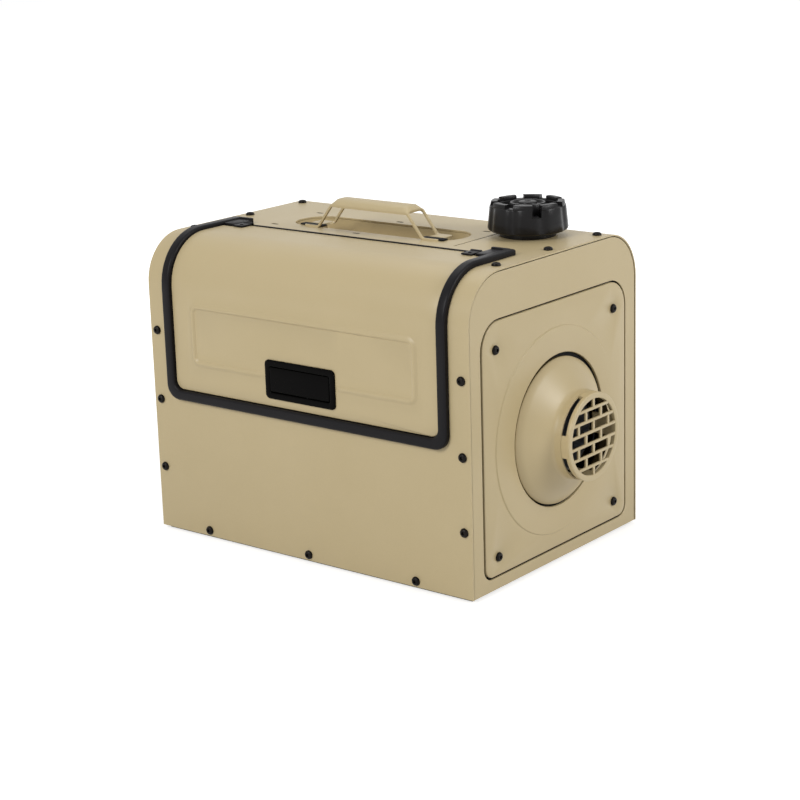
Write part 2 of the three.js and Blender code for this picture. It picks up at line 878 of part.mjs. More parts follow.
const grille_back = outlet_face - grille_thickness;
const rim_back = outlet_face - grille_rim_depth;
const tab_back = collar_end - tab_depth;
const tab_radius = collar_radius - collar_wall - seat_gap;
const grille_disc = cut(
  rodX(collar_radius, rim_back, outlet_face, 0, duct_z, round_sides),
  rodX(grille_bore_radius, rim_back - overrun, grille_back, 0, duct_z, round_sides),
);
const tab_ring = spinX([
  [tab_back, tab_radius - tab_wall],
  [tab_back, tab_radius],
  [collar_end + seat_gap, tab_radius],
  [collar_end + seat_gap, collar_radius],
  [rim_back + grille_thickness / 2, collar_radius],
  [rim_back + grille_thickness / 2, tab_radius - tab_wall],
], 0, duct_z);
function sector(start, angle, from, to) {
  const reach = 2 * collar_radius;
  const points = [new THREE.Vector2(0, duct_z)];
  for (const turn of [start, start + angle / 2, start + angle]) {
    const radians = THREE.MathUtils.degToRad(turn);
    points.push(new THREE.Vector2(reach * Math.cos(radians), duct_z + reach * Math.sin(radians)));
  }
  return prismX(new THREE.Shape(points), from, to);
}
const tabs = [];
for (let i = 0; i < grille_tabs; i++) {
  const start = tab_turn + (i * full_turn) / grille_tabs;
  tabs.push(sector(start, tab_angle, tab_back - overrun, outlet_face + overrun));
}
const grille_whole = join(grille_disc, tab_ring.intersect(join(...tabs)));
const grille = cut(grille_whole, brickHoles(grille_back - overrun, outlet_face + overrun));
add("outlet_grille", grille, sand, 0.45);

// Door frame: a U round the door that runs over the bend, with a hinge lug at each tail.
function framed(outer, inner, half_width, foot, radius, tail) {
  const band = prismX(frontBand(outer, inner, foot, tail), -half_width, half_width);
  return band.intersect(frontWindow(half_width, foot, radius, -half_depth - overrun, 0));
}
const frame_hollow = frontWindow(
  frame_inner,
  frame_sill,
  inner_corner_radius,
  -half_depth - overrun,
  overrun,
);
const frame_body = framed(
  frame_proud,
  seat_gap,
  frame_half_width,
  frame_low,
  frame_corner_radius,
  frame_tail,
);
const frame_web = framed(
  frame_proud / 2,
  -sheet,
  opening_half_width - seat_gap,
  opening_low + seat_gap,
  frame_corner_radius - seat_gap,
  opening_tail - seat_gap,
);
const lug_span = [case_top + seat_gap, case_top + frame_proud];
const lug_right = block([lug_inner, frame_inner + frame_bar / 2], [lug_front, frame_tail], lug_span);
const lugs = join(lug_right, lug_right.mirror([1, 0, 0]));
const pin_bore = rodX(
  hinge_pin_radius + hinge_pin_play,
  -door_half_width,
  door_half_width,
  hinge_line,
  hinge_height,
  hinge_sides,
);
const frame = cut(
  join(cut(join(frame_body, frame_web), frame_hollow), lugs),
  pin_bore,
);
add("door_frame", frame, black, 0.45);

// Door skin: flush with the wrap, with short lips, a raised field and notches for the lugs.
const door_band = prismX(frontBand(0, -sheet, door_low, door_tail), -door_half_width, door_half_width);
const lip_band = prismX(frontBand(-sheet / 2, -door_lip, door_low, lug_front - lug_notch_gap),
  -door_half_width, door_half_width);
const lip_hollow = prismX(
  frontRegion(0, door_low + sheet, overrun),
  sheet - door_half_width,
  door_half_width - sheet,
);
const door_outline = frontWindow(door_half_width, door_low, inner_corner_radius, -half_depth - overrun, 0);
const latch_x = latch_width / 2;
const latch_z = [down(latch_drop) - latch_height, down(latch_drop)];
const emboss_half_width = door_half_width - emboss_inset;
const emboss_plate = prismY(
  plate(
    [-emboss_half_width, emboss_half_width],
    [down(emboss_drop) - emboss_tall, down(emboss_drop)],
    emboss_radius,
    emboss_radius,
  ),
  -half_depth - emboss_height,
  -half_depth + sheet / 2,
);
const emboss_seat = block(
  [-latch_x - seat_gap, latch_x + seat_gap],
  [-half_depth - emboss_height - overrun, -half_depth],
  [latch_z[0] - seat_gap, latch_z[1] + seat_gap],
);
const body_x = latch_x - latch_border;
const body_z = [latch_z[0] + latch_border, latch_z[1] - latch_border];
const latch_hole = block(
  [-body_x - seat_gap, body_x + seat_gap],
  [-half_depth - overrun, -half_depth + overrun],
  [body_z[0] - seat_gap, body_z[1] + seat_gap],
);
const notch_right = block(
  [lug_inner - seat_gap - seat_gap, door_half_width + overrun],
  [lug_front - lug_notch_gap, 0],
  [case_top - bend_radius, case_top + overrun],
);
const notches = join(notch_right, notch_right.mirror([1, 0, 0]));
const door = cut(
  join(door_band, cut(lip_band, lip_hollow), cut(emboss_plate, emboss_seat)).intersect(door_outline),
  notches,
  latch_hole,
);
add("door", door, sand, 0.5);

// Hinge leaves: each has its barrel on the hinge line and its pin in the frame's lug.
const barrel_outer = lug_inner - seat_gap;
const barrel_inner = barrel_outer - barrel_length;
const leaf_low = case_top + seat_gap;
const leaf = join(
  rodX(hinge_radius, barrel_inner, barrel_outer, hinge_line, hinge_height, hinge_sides),
  block(
    [barrel_inner, barrel_outer],
    [hinge_line - leaf_length, hinge_line],
    [leaf_low, leaf_low + leaf_thickness],
  ),
  rodX(
    hinge_pin_radius,
    barrel_inner,
    door_half_width - seat_gap,
    hinge_line,
    hinge_height,
    hinge_sides,
  ),
);
add("hinge_leaf_right", leaf, black, 0.45);
add("hinge_leaf_left", leaf.mirror([1, 0, 0]), black, 0.45);

// Latch: a pocket let into the door, a paddle pivoted near its top edge and a bolt below it.
const latch_back = -half_depth + latch_depth;
const latch_front = -half_depth - emboss_height - latch_proud;
const flange_back = -half_depth - emboss_height - seat_gap;
const pocket_x = body_x - latch_wall;
const pocket_z = [body_z[0] + latch_wall, body_z[1] - latch_wall];
const paddle_axis_y = latch_front + paddle_thickness / 2;
const paddle_axis_z = pocket_z[1] - paddle_gap - paddle_axis_drop;
const bolt_front = -half_depth + bolt_setback;
const bolt_back = bolt_front + bolt_thickness;
const bolt_x = bolt_width / 2;
const bolt_slot = block(
  [-bolt_x - seat_gap, bolt_x + seat_gap],
  [bolt_front - seat_gap, bolt_back + seat_gap],
  [body_z[0] - overrun, pocket_z[0] + latch_wall],
);
const housing_front = prismY(
  plate([-latch_x, latch_x], latch_z, latch_corner, latch_corner),
  latch_front,
  flange_back,
);
const housing_body = block([-body_x, body_x], [latch_front + latch_wall, latch_back], body_z);
const latch_pocket = block(
  [-pocket_x, pocket_x],
  [latch_front - overrun, latch_back - latch_wall],
  pocket_z,
);
const pivot_bore = rodX(
  paddle_pin_radius + hinge_pin_play,
  -body_x + seat_gap,
  body_x - seat_gap,
  paddle_axis_y,
  paddle_axis_z,
  hinge_sides,
);
const latch_housing = cut(join(housing_front, housing_body), latch_pocket, pivot_bore, bolt_slot);
add("latch_housing", latch_housing, black, 0.4);

const paddle_z = [pocket_z[0] + paddle_finger_gap, pocket_z[1] - paddle_gap];
const paddle = join(
  block(
    [paddle_gap - pocket_x, pocket_x - paddle_gap],
    [latch_front, latch_front + paddle_thickness],
    paddle_z,
  ),
  rodX(
    paddle_pin_radius,
    -pocket_x - latch_wall / 2,
    pocket_x + latch_wall / 2,
    paddle_axis_y,
    paddle_axis_z,
    hinge_sides,
  ),
);
add("latch_paddle", paddle, black, 0.35);

const bolt_span = [frame_sill - bolt_engagement, pocket_z[0] + bolt_stand];
add("latch_bolt", block([-bolt_x, bolt_x], [bolt_front, bolt_back], bolt_span), steel, 0.4, 0.8);

// Compartment behind the door.
const liner_inner = liner_half_width - liner_wall;
const liner_shell = prismX(
  frontRegion(-lining, liner_floor - liner_wall, liner_back),
  -liner_half_width,
  liner_half_width,
);
const liner_hollow = prismX(
  frontRegion(overrun, liner_floor, liner_back - liner_wall),
  -liner_inner,
  liner_inner,
);
const liner_top = case_top - lining;
const liner_lap = block(
  [-liner_half_width, liner_half_width],
  [liner_back - liner_wall, liner_back - liner_wall + liner_flange],
  [liner_top - liner_wall, liner_top],
);
add("compartment_liner", join(cut(liner_shell, liner_hollow), liner_lap), sand, 0.6);

// Control panel on the liner's back wall, with a display, a knob and two buttons.
const controls_back = liner_back - liner_wall - seat_gap;
const controls_front = controls_back - controls_thickness;
const controls_z = [down(controls_drop) - controls_height, down(controls_drop)];
const display_x = [display_offset - display_width / 2, display_offset + display_width / 2];
const display_z = [controls_z[0] + display_rise, controls_z[0] + display_rise + display_height];
const display_pocket = [controls_front - overrun, controls_front + display_thickness + seat_gap];
const knob_z = (controls_z[0] + controls_z[1]) / 2;
const button_z = controls_z[0] + button_rise;
const controls_plate = prismY(
  plate([-controls_width / 2, controls_width / 2], controls_z, latch_corner, latch_corner),
  controls_front,
  controls_back,
);
const pockets = button_offsets.map((x) =>
  rodY(
    button_radius + seat_gap,
    controls_front - overrun,
    controls_front + button_pocket,
    x,
    button_z,
    hinge_sides,
  ));
const display_cut = block(
  [display_x[0] - seat_gap, display_x[1] + seat_gap],
  display_pocket,
  [display_z[0] - seat_gap, display_z[1] + seat_gap],
);
const knob_cut = rodY(
  knob_shaft_radius + seat_gap,
  controls_front - overrun,
  controls_front + knob_shaft_length + seat_gap,
  knob_offset,
  knob_z,
  hinge_sides,
);
add("control_panel", cut(controls_plate, display_cut, knob_cut, ...pockets), black, 0.5);
const display = block(display_x, [controls_front, controls_front + display_thickness], display_z);
add("display_window", display, 0x1d2b33, 0.15);

const knob_front = controls_front - seat_gap - knob_length;
const knob_grips = [];
for (let i = 0; i < knob_flutes; i++) {
  const turn = (2 * Math.PI * i) / knob_flutes;
  const reach = knob_radius + knob_shaft_radius / 2;
  const [x, z] = [knob_offset + reach * Math.cos(turn), knob_z + reach * Math.sin(turn)];
  knob_grips.push(rodY(knob_shaft_radius, knob_front - overrun, controls_front, x, z, line_sides));
}
const knob_body = rodY(
  knob_radius,
  knob_front,
  controls_front - seat_gap,
  knob_offset,
  knob_z,
  round_sides,
);
const knob = join(
  cut(knob_body, ...knob_grips),
  rodY(
    knob_shaft_radius,
    knob_front + knob_length / 2,
    controls_front + knob_shaft_length,
    knob_offset,
    knob_z,
    hinge_sides,
  ),
);
add("control_knob", knob, black, 0.4);

button_offsets.forEach((x, i) => {
  const span = [controls_front - button_proud, controls_front + button_pocket / 2];
  const button = rodY(button_radius, ...span, x, button_z, round_sides / 2);
  add(["button_up", "button_down"][i], button, black, 0.4);
});

// Recess in the top, a pressed tray under the wrap's opening.
const floor_x = recess_x.map((x, i) => (i ? x - recess_slope : x + recess_slope));
const floor_y = recess_y.map((y, i) => (i ? y - recess_slope : y + recess_slope));
const recess_top = case_top - lining;
const recess_foot = case_top - recess_depth;
const bowl = (grow, low, high) => {
  const wide = (span, extra) => [span[0] - extra, span[1] + extra];
  return loft([
    plateRing(wide(floor_x, grow), wide(floor_y, grow), recess_corner - recess_slope + grow, low),
    plateRing(wide(recess_x, grow), wide(recess_y, grow), recess_corner + grow, high),
  ]);
};
const recess_rim = prismZ(
  plate(
    [recess_x[0] - recess_flange, recess_x[1] + recess_flange],
    [recess_y[0] - recess_flange, recess_y[1] + recess_flange],
    recess_corner + recess_flange,
    recess_corner + recess_flange,
  ),
  recess_top - sheet,
  recess_top,
);
const recess_body = join(recess_rim, bowl(sheet, recess_foot - sheet, recess_top));
const recess_mouth = prismZ(
  plate(recess_x, recess_y, recess_corner, recess_corner),
  recess_top - seat_gap / 2,
  case_top + overrun,
);
const recess_hollow = join(bowl(0, recess_foot, recess_top), recess_mouth);
const handle_x = handle_centre[0];
const handle_y = [handle_centre[1] - handle_width / 2, handle_centre[1] + handle_width / 2];
const foot_top = case_top + foot_rise;
const foot_low = foot_top - handle_sheet;
const foot_reach = foot_half_spread + foot_length;
const foot_pads = [-1, 1].map((side) => {
  const centre = handle_x + side * (foot_half_spread + foot_length / 2);
  return block(
    [centre - foot_pad_width / 2, centre + foot_pad_width / 2],
    [handle_centre[1] - foot_pad_width / 2, handle_centre[1] + foot_pad_width / 2],
    [recess_foot - sheet / 2, foot_low - seat_gap],
  );
});
add("handle_tray", join(cut(recess_body, recess_hollow), ...foot_pads), sand, 0.5);

// Handle: one bent strap. Each end is a window between two narrow legs over a flat foot.
const grip_z = case_top + handle_rise;
const strap_upper = [
  [-foot_reach, foot_top],
  [-foot_half_spread, foot_top],
  [-grip_half_length, grip_z],
  [grip_half_length, grip_z],
  [foot_half_spread, foot_top],
  [foot_reach, foot_top],
];
const strap_lower = [
  [foot_reach, foot_low],
  [foot_half_spread - handle_sheet, foot_low],
  [grip_half_length - handle_sheet, grip_z - handle_sheet],
  [handle_sheet - grip_half_length, grip_z - handle_sheet],
  [handle_sheet - foot_half_spread, foot_low],
  [-foot_reach, foot_low],
];
const strap_points = [...strap_upper, ...strap_lower];
const strap = prismY(
  new THREE.Shape(strap_points.map(([x, z]) => new THREE.Vector2(handle_x + x, z))),
  ...handle_y,
);
const leg_window = block(
  [handle_x - foot_half_spread - overrun, handle_x + foot_half_spread + overrun],
  [handle_y[0] + leg_width, handle_y[1] - leg_width],
  [foot_top, grip_z - handle_sheet],
);
const crown_points = [];
for (let i = 0; i <= crown_steps; i++) {
  const share = i / crown_steps;
  const y = handle_y[0] + share * handle_width;
  const rise = handle_crown * Math.sin(Math.PI * share);
  crown_points.push(new THREE.Vector2(y, grip_z - handle_sheet / 2 + rise));
}
const crown = prismX(
  new THREE.Shape(crown_points),
  handle_x - grip_half_length,
  handle_x + grip_half_length,
);
add("handle", join(cut(strap, leg_window), crown), sand, 0.45);

// Filler neck: a collar on the top and a tube down into the tank.
const neck = spinZ([
  [tank_top - tank_wall, neck_bore_radius],
  [tank_top - tank_wall, neck_radius],
  [case_top + seat_gap, neck_radius],
  [case_top + seat_gap, neck_flange_radius],
  [case_top + seat_gap + neck_flange_height, neck_flange_radius],
  [case_top + seat_gap + neck_flange_height, neck_radius],
  [neck_top, neck_radius],
  [neck_top, neck_bore_radius],
], filler_x, filler_y);
add("filler_neck", neck, black, 0.5);

const gasket_low = neck_top + seat_gap;
const gasket_top = gasket_low + gasket_thickness;
const gasket = spinZ([
  [gasket_low, neck_bore_radius],
  [gasket_low, neck_radius],
  [gasket_top, neck_radius],
  [gasket_top, neck_bore_radius],
], filler_x, filler_y);
add("cap_gasket", gasket, rubber, 0.8);

// Fuel cap: a lobed skirt that narrows upward, hollow over the neck, with a dish in its top.
function lobedRing(radius, depth, z) {
  const ring = [];
  const count = cap_lobes * cap_lobe_steps;
  for (let i = 0; i < count; i++) {
    const turn = (2 * Math.PI * i) / count;
    const swell = radius - depth * Math.abs(Math.cos((cap_lobes * turn) / 2)) ** cap_lobe_steps;
    ring.push([filler_x + swell * Math.cos(turn), filler_y + swell * Math.sin(turn), z]);
  }
  return ring;
}
const cap_top = cap_foot + cap_height;
const cap_body = loft([
  lobedRing(cap_foot_radius - cap_chamfer, 0, cap_foot),
  lobedRing(cap_foot_radius, cap_lobe_depth, cap_foot + cap_chamfer),
  lobedRing(cap_top_radius, cap_lobe_depth, cap_top - cap_chamfer),
  lobedRing(cap_top_radius - cap_chamfer, cap_lobe_depth, cap_top),
]);
const cap_bore = spinZ([
  [cap_foot - overrun, 0],
  [cap_foot - overrun, neck_radius + neck_clearance],
  [gasket_top + seat_gap, neck_radius + neck_clearance],
  [gasket_top + seat_gap, 0],
], filler_x, filler_y);
const cap_dish = spinZ([
  [cap_top - cap_dish_depth, 0],
  [cap_top - cap_dish_depth, cap_dish_radius],
  [cap_top + overrun, cap_dish_radius],
  [cap_top + overrun, 0],
], filler_x, filler_y);
add("fuel_cap", cut(cap_body, cap_bore, cap_dish), black, 0.45);

// Fuel tank with a spigot below, and the shelf that carries it between the end plates.
const spigot_low = tank_foot - spigot_drop;
const tank_right = half_length - tank_end_gap;
const tank_rear = half_depth - tank_rear_gap;
const tank_x = [tank_right - tank_length, tank_right];
const tank_y = [liner_back + tank_front_gap, tank_rear];
const tank_shell = prismZ(plate(tank_x, tank_y, tank_corner, tank_corner), tank_foot, tank_top);
const tank_hollow = prismZ(
  plate(
    [tank_x[0] + tank_wall, tank_x[1] - tank_wall],
    [tank_y[0] + tank_wall, tank_y[1] - tank_wall],
    tank_corner - tank_wall,
    tank_corner - tank_wall,
  ),
  tank_foot + tank_wall,
  tank_top - tank_wall,
);
const tank_mouth = rodZ(
  neck_radius + neck_clearance,
  tank_top - tank_wall - overrun,
  tank_top + overrun,
  filler_x,
  filler_y,
  round_sides,
);
const spigot = rodZ(
  spigot_radius,
  spigot_low,
  tank_foot + tank_wall / 2,
  supply_place,
  pump_y,
  line_sides,
);
const spigot_bore = rodZ(
  spigot_bore_radius,
  spigot_low - overrun,
  tank_foot + tank_wall + overrun,
  supply_place,
  pump_y,
  line_sides,
);
const tank = cut(join(tank_shell, spigot), tank_hollow, tank_mouth, spigot_bore);
add("fuel_tank", tank, tank_white, 0.5);

const shelf_x = [seat_gap - end_back, end_back - sheet - seat_gap];
const shelf_top = tank_foot - seat_gap;
const shelf_front = liner_back + seat_gap;
const shelf_rear = pump_y - shelf_rear_gap;
const shelf = join(
  block(shelf_x, [shelf_front, shelf_rear], [shelf_top - shelf_thickness, shelf_top]),
  block(
    shelf_x,
    [shelf_rear - shelf_thickness, shelf_rear],
    [shelf_top - shelf_skirt, shelf_top],
  ),
);
add("tank_shelf", shelf, steel, 0.45, 0.7);

// Heater housing: two half shells round the fan, the motor and the heat exchanger.
const housing_y = housing_width / 2;
const housing_z = [duct_z - housing_height / 2, duct_z + housing_height / 2];
const inner_y = housing_y - housing_wall;
const inner_z = [housing_z[0] + housing_wall, housing_z[1] - housing_wall];
const inner_corner = housing_corner - housing_wall;
const inner_outline = (gap) =>
  plate(
    [gap - inner_y, inner_y - gap],
    [inner_z[0] + gap, inner_z[1] - gap],
    inner_corner - gap,
    inner_corner - gap,
  );
const housing_neck = housing_right + housing_neck_length;
const pipe_floor = housing_z[0] + housing_wall / 2;
const housing_shell = join(
  prismX(
    plate([-housing_y, housing_y], housing_z, housing_corner, housing_corner),
    housing_left,
    housing_right,
  ),
  rodX(housing_neck_radius, housing_right - housing_wall, housing_neck, 0, duct_z, inner_sides),
);
const feed_z = up(feed_height);
const housing_hollow = join(
  prismX(inner_outline(0), housing_left + housing_wall, housing_right - housing_wall),
  rodX(housing_bore_radius, housing_right - overrun, housing_neck + overrun, 0, duct_z, inner_sides),
  rodX(intake_bore_radius, housing_left - overrun, housing_left + overrun, 0, duct_z, inner_sides),
  rodZ(exhaust_hole, pipe_floor - overrun, pipe_floor + overrun, exhaust_place, 0, hinge_sides),
  rodZ(intake_hole, pipe_floor - overrun, pipe_floor + overrun, intake_pipe_place, 0, hinge_sides),
  rodY(line_radius + line_play, inner_y - overrun, housing_y + overrun, feed_place, feed_z, line_sides),
);
const housing = cut(housing_shell, housing_hollow);
const lower_half = block(
  [housing_left - overrun, housing_neck + overrun],
  [-housing_width, housing_width],
  [housing_z[0] - overrun, duct_z - seat_gap / 2],
);
const upper_half = block(
  [housing_left - overrun, housing_neck + overrun],
  [-housing_width, housing_width],
  [duct_z + seat_gap / 2, housing_z[1] + overrun],
);
add("heater_housing_lower", housing.intersect(lower_half), black, 0.6);
add("heater_housing_upper", housing.intersect(upper_half), black, 0.6);

// Blower motor with the bulkhead that holds it, and the shaft with both fans.
const bulkhead = prismX(inner_outline(seat_gap), motor_right - motor_plate, motor_right);
const window_ring = spinX([
  [motor_right - motor_plate - overrun, motor_window_inner],
  [motor_right - motor_plate - overrun, motor_window_outer],
  [motor_right + overrun, motor_window_outer],
  [motor_right + overrun, motor_window_inner],
], 0, duct_z, inner_sides);
const windows = [];
for (let i = 0; i < motor_windows; i++) {
  const start = (i * full_turn) / motor_windows;
  const x0 = motor_right - motor_plate - overrun;
  windows.push(sector(start, motor_window_angle, x0 - overrun, motor_right + overrun + overrun));
}
const motor = cut(
  join(bulkhead, rodX(motor_radius, motor_left, motor_right, 0, duct_z, inner_sides)),
  window_ring.intersect(join(...windows)),
  rodX(shaft_radius + shaft_play, motor_left - overrun, motor_right + overrun, 0, duct_z, hinge_sides),
);
add("blower_motor", motor, steel, 0.4, 0.7);

const shaft_left = housing_left + shaft_inset;
const fan_left = housing_left + fan_inset;
const impeller_left = motor_right + impeller_gap;
const shaft_right = impeller_left + impeller_length + shaft_stub;
add("rotor_shaft", rodX(shaft_radius, shaft_left, shaft_right, 0, duct_z, hinge_sides), steel, 0.3, 0.9);
const shaft_bore = rodX(
  shaft_radius + shaft_play,
  shaft_left - overrun,
  shaft_right + overrun,
  0,
  duct_z,
  hinge_sides,
);
const fan_middle = fan_left + fan_length / 2;
const blades = [];
for (let i = 0; i < fan_blades; i++) {
  const blade = block(
    [-fan_length / 2, fan_length / 2],
    [-fan_blade_thickness / 2, fan_blade_thickness / 2],
    [fan_hub_radius / 2, fan_radius],
  );
  const turned = blade.rotate([0, 0, fan_blade_twist]).rotate([(i * full_turn) / fan_blades, 0, 0]);
  blades.push(turned.translate([fan_middle, 0, duct_z]));
}
const hub = rodX(fan_hub_radius, fan_left, fan_left + fan_length, 0, duct_z, hinge_sides);
add("blower_fan", cut(join(hub, ...blades), shaft_bore), black, 0.5);

const vanes = [];
for (let i = 0; i < impeller_vanes; i++) {
  const vane = block(
    [impeller_left, impeller_left + impeller_length],
    [-impeller_vane_thickness / 2, impeller_vane_thickness / 2],
    [impeller_hub_radius / 2, impeller_radius],
  );
  vanes.push(vane.rotate([(i * full_turn) / impeller_vanes, 0, 0]).translate([0, 0, duct_z]));
}
const impeller = join(
  rodX(impeller_radius, impeller_left, impeller_left + impeller_disc, 0, duct_z, hinge_sides),
  rodX(impeller_hub_radius, impeller_left, impeller_left + impeller_length, 0, duct_z, hinge_sides),
  ...vanes,
);
add("combustion_fan", cut(impeller, shaft_bore), black, 0.5);

// Combustion air housing: a cup between the motor and the heat exchanger, with a pipe socket below.
const air_left = motor_right + seat_gap;
const air_cup = spinX([
  [air_left, shaft_radius + shaft_play],
  [air_left, air_case_radius],
  [air_case_right, air_case_radius],
  [air_case_right, air_case_radius - air_case_wall],
  [air_left + air_case_wall, air_case_radius - air_case_wall],
  [air_left + air_case_wall, shaft_radius + shaft_play],
], 0, duct_z, inner_sides);
const socket_low = inner_z[0] + seat_gap;
const socket = rodZ(
  intake_pipe_radius + pipe_wall,
  socket_low,
  duct_z - air_case_radius + air_case_wall,
  intake_pipe_place,
  0,
  hinge_sides,
);
const socket_bore = rodZ(
  intake_pipe_radius - pipe_wall,
  socket_low - overrun,
  duct_z - air_case_radius + air_case_wall + overrun,
  intake_pipe_place,
  0,
  hinge_sides,
);
const cup_core = rodX(
  air_case_radius - air_case_wall,
  air_left + air_case_wall,
  air_case_right + overrun,
  0,
  duct_z,
  inner_sides,
);
add("combustion_air_housing", cut(join(air_cup, socket), cup_core, socket_bore), aluminium, 0.5, 0.8);

// Heat exchanger: a finned body, open to the burner on the left, with the exhaust port below.
const fins = [];
for (let i = 0; i < exchanger_fins; i++) {
  const fin = block(
    [exchanger_left, exchanger_right],
    [-exchanger_fin_thickness / 2, exchanger_fin_thickness / 2],
    [exchanger_radius / 2, exchanger_fin_radius],
  );
  const turn = ((i + 1 / 2) * full_turn) / exchanger_fins;
  fins.push(fin.rotate([turn, 0, 0]).translate([0, 0, duct_z]));
}
const exhaust_pad = block(
  [exhaust_place - exchanger_pad_half_width, exhaust_place + exchanger_pad_half_width],
  [-exchanger_pad_half_width, exchanger_pad_half_width],
  [inner_z[0] + seat_gap, duct_z - exchanger_radius / 2],
);
const plug_place = exchanger_left + plug_inset;
const plug_hole = rodZ(plug_radius + seat_gap, duct_z, duct_z + plug_reach, plug_place, 0, hinge_sides);
const exchanger = cut(
  join(
    rodX(exchanger_radius, exchanger_left, exchanger_right, 0, duct_z, inner_sides),
    exhaust_pad,
    ...fins,
  ),
  rodX(
    exchanger_bore_radius,
    exchanger_left - overrun,
    exchanger_right - exchanger_end_wall,
    0,
    duct_z,
    inner_sides,
  ),
  rodZ(exhaust_radius - exhaust_wall, inner_z[0], duct_z, exhaust_place, 0, hinge_sides),
  rodZ(
    plug_pocket_radius,
    duct_z + exchanger_radius,
    duct_z + housing_height,
    plug_place,
    0,
    hinge_sides,
  ),
  plug_hole,
);
add("heat_exchanger", exchanger, aluminium, 0.55, 0.8);

const flange_radius = exchanger_bore_radius - seat_gap;
const burner_end = exchanger_left + burner_length;
const burner = spinX([
  [exchanger_left, burner_radius - burner_wall],
  [exchanger_left, flange_radius],
  [exchanger_left + burner_flange, flange_radius],
  [exchanger_left + burner_flange, burner_radius],
  [burner_end, burner_radius],
  [burner_end, burner_radius - burner_wall],
], 0, duct_z, inner_sides);
add("burner_tube", burner, steel, 0.5, 0.8);

const plug_seat = duct_z + exchanger_radius + seat_gap;
const plug = spinZ([
  [duct_z + burner_radius + seat_gap + seat_gap, 0],
  [duct_z + burner_radius + seat_gap + seat_gap, plug_radius],
  [plug_seat, plug_radius],
  [plug_seat, plug_head_radius],
  [plug_seat + plug_head_height, plug_head_radius],
  [plug_seat + plug_head_height, plug_radius / 2],
  [duct_z + plug_reach, plug_radius / 2],
  [duct_z + plug_reach, 0],
], plug_place, 0, hinge_sides);
add("glow_plug", plug, steel, 0.4, 0.8);

const duct_left = housing_neck - duct_overlap;
const duct_right = tab_back - duct_end_gap;
const duct = spinX([
  [duct_left, duct_radius - duct_wall],
  [duct_left, duct_radius],
  [duct_right, duct_radius],
  [duct_right, duct_radius - duct_wall],
], 0, duct_z, inner_sides);
add("outlet_duct", duct, steel, 0.4, 0.7);

// Brackets that carry the housing on the base tray.
const bracket_top = housing_z[0] - seat_gap;
const bracket_low = up(sheet) + seat_gap;
const bracket_half = [
  [bracket_half_width - bracket_sheet, bracket_top - bracket_sheet],
  [bracket_half_width - bracket_sheet, bracket_low],
  [bracket_half_width + bracket_foot, bracket_low],
  [bracket_half_width + bracket_foot, bracket_low + bracket_sheet],
  [bracket_half_width, bracket_low + bracket_sheet],
  [bracket_half_width, bracket_top],
];
const bracket_mirrored = bracket_half.map(([y, z]) => [-y, z]).reverse();
const bracket_outline = [...bracket_half, ...bracket_mirrored];
const bracket_shape = new THREE.Shape(bracket_outline.map(([y, z]) => new THREE.Vector2(y, z)));
const bracket_places = [housing_left + bracket_left_inset, housing_right - bracket_right_inset];
["heater_bracket_left", "heater_bracket_right"].forEach((name, i) => {
  const from = bracket_places[i];
  add(name, prismX(bracket_shape, from, from + bracket_length), steel, 0.45, 0.7);
});

// Pipes and lines: a section carried along straight runs with a rounded corner between them.
function route(points, bend) {
  const path = new THREE.CurvePath();
  const stops = points.map((p) => new THREE.Vector3(...p));
  let start = stops[0];
  for (let i = 1; i < stops.length - 1; i++) {
    const corner = stops[i];
    const before = corner.clone().addScaledVector(corner.clone().sub(stops[i - 1]).normalize(), -bend);
    const after = corner.clone().addScaledVector(stops[i + 1].clone().sub(corner).normalize(), bend);
    path.add(new THREE.LineCurve3(start, before));
    path.add(new THREE.QuadraticBezierCurve3(before, corner, after));
    start = after;
  }
  path.add(new THREE.LineCurve3(start, stops[stops.length - 1]));
  return path;
}

function tube(points, bend, radius, bore, steps, sides) {
  const section = disc(radius, sides);
  if (bore > 0) section.holes.push(disc(bore, sides));
  const extrudePath = route(points, bend);
  return solidOf(new THREE.ExtrudeGeometry(section, { steps, extrudePath, bevelEnabled: false }));
}

const pipe_z = up(pipe_height);
const pipe_end = half_depth + pipe_reach;
const exhaust_start = inner_z[0];
const exhaust_route = [
  [exhaust_place, 0, exhaust_start],
  [exhaust_place, 0, pipe_z],
  [exhaust_place, pipe_end, pipe_z],
];
const exhaust_bore = exhaust_radius - exhaust_wall;
const exhaust = tube(exhaust_route, pipe_bend, exhaust_radius, exhaust_bore, pipe_steps, pipe_sides);
add("exhaust_pipe", exhaust, steel, 0.4, 0.8);
const air_route = [
  [intake_pipe_place, 0, inner_z[0]],
  [intake_pipe_place, 0, pipe_z],
  [intake_pipe_place, pipe_end, pipe_z],
];
const air_bore = intake_pipe_radius - pipe_wall;
const air_pipe = tube(air_route, pipe_bend, intake_pipe_radius, air_bore, pipe_steps, pipe_sides);
add("air_intake_pipe", air_pipe, black, 0.7);

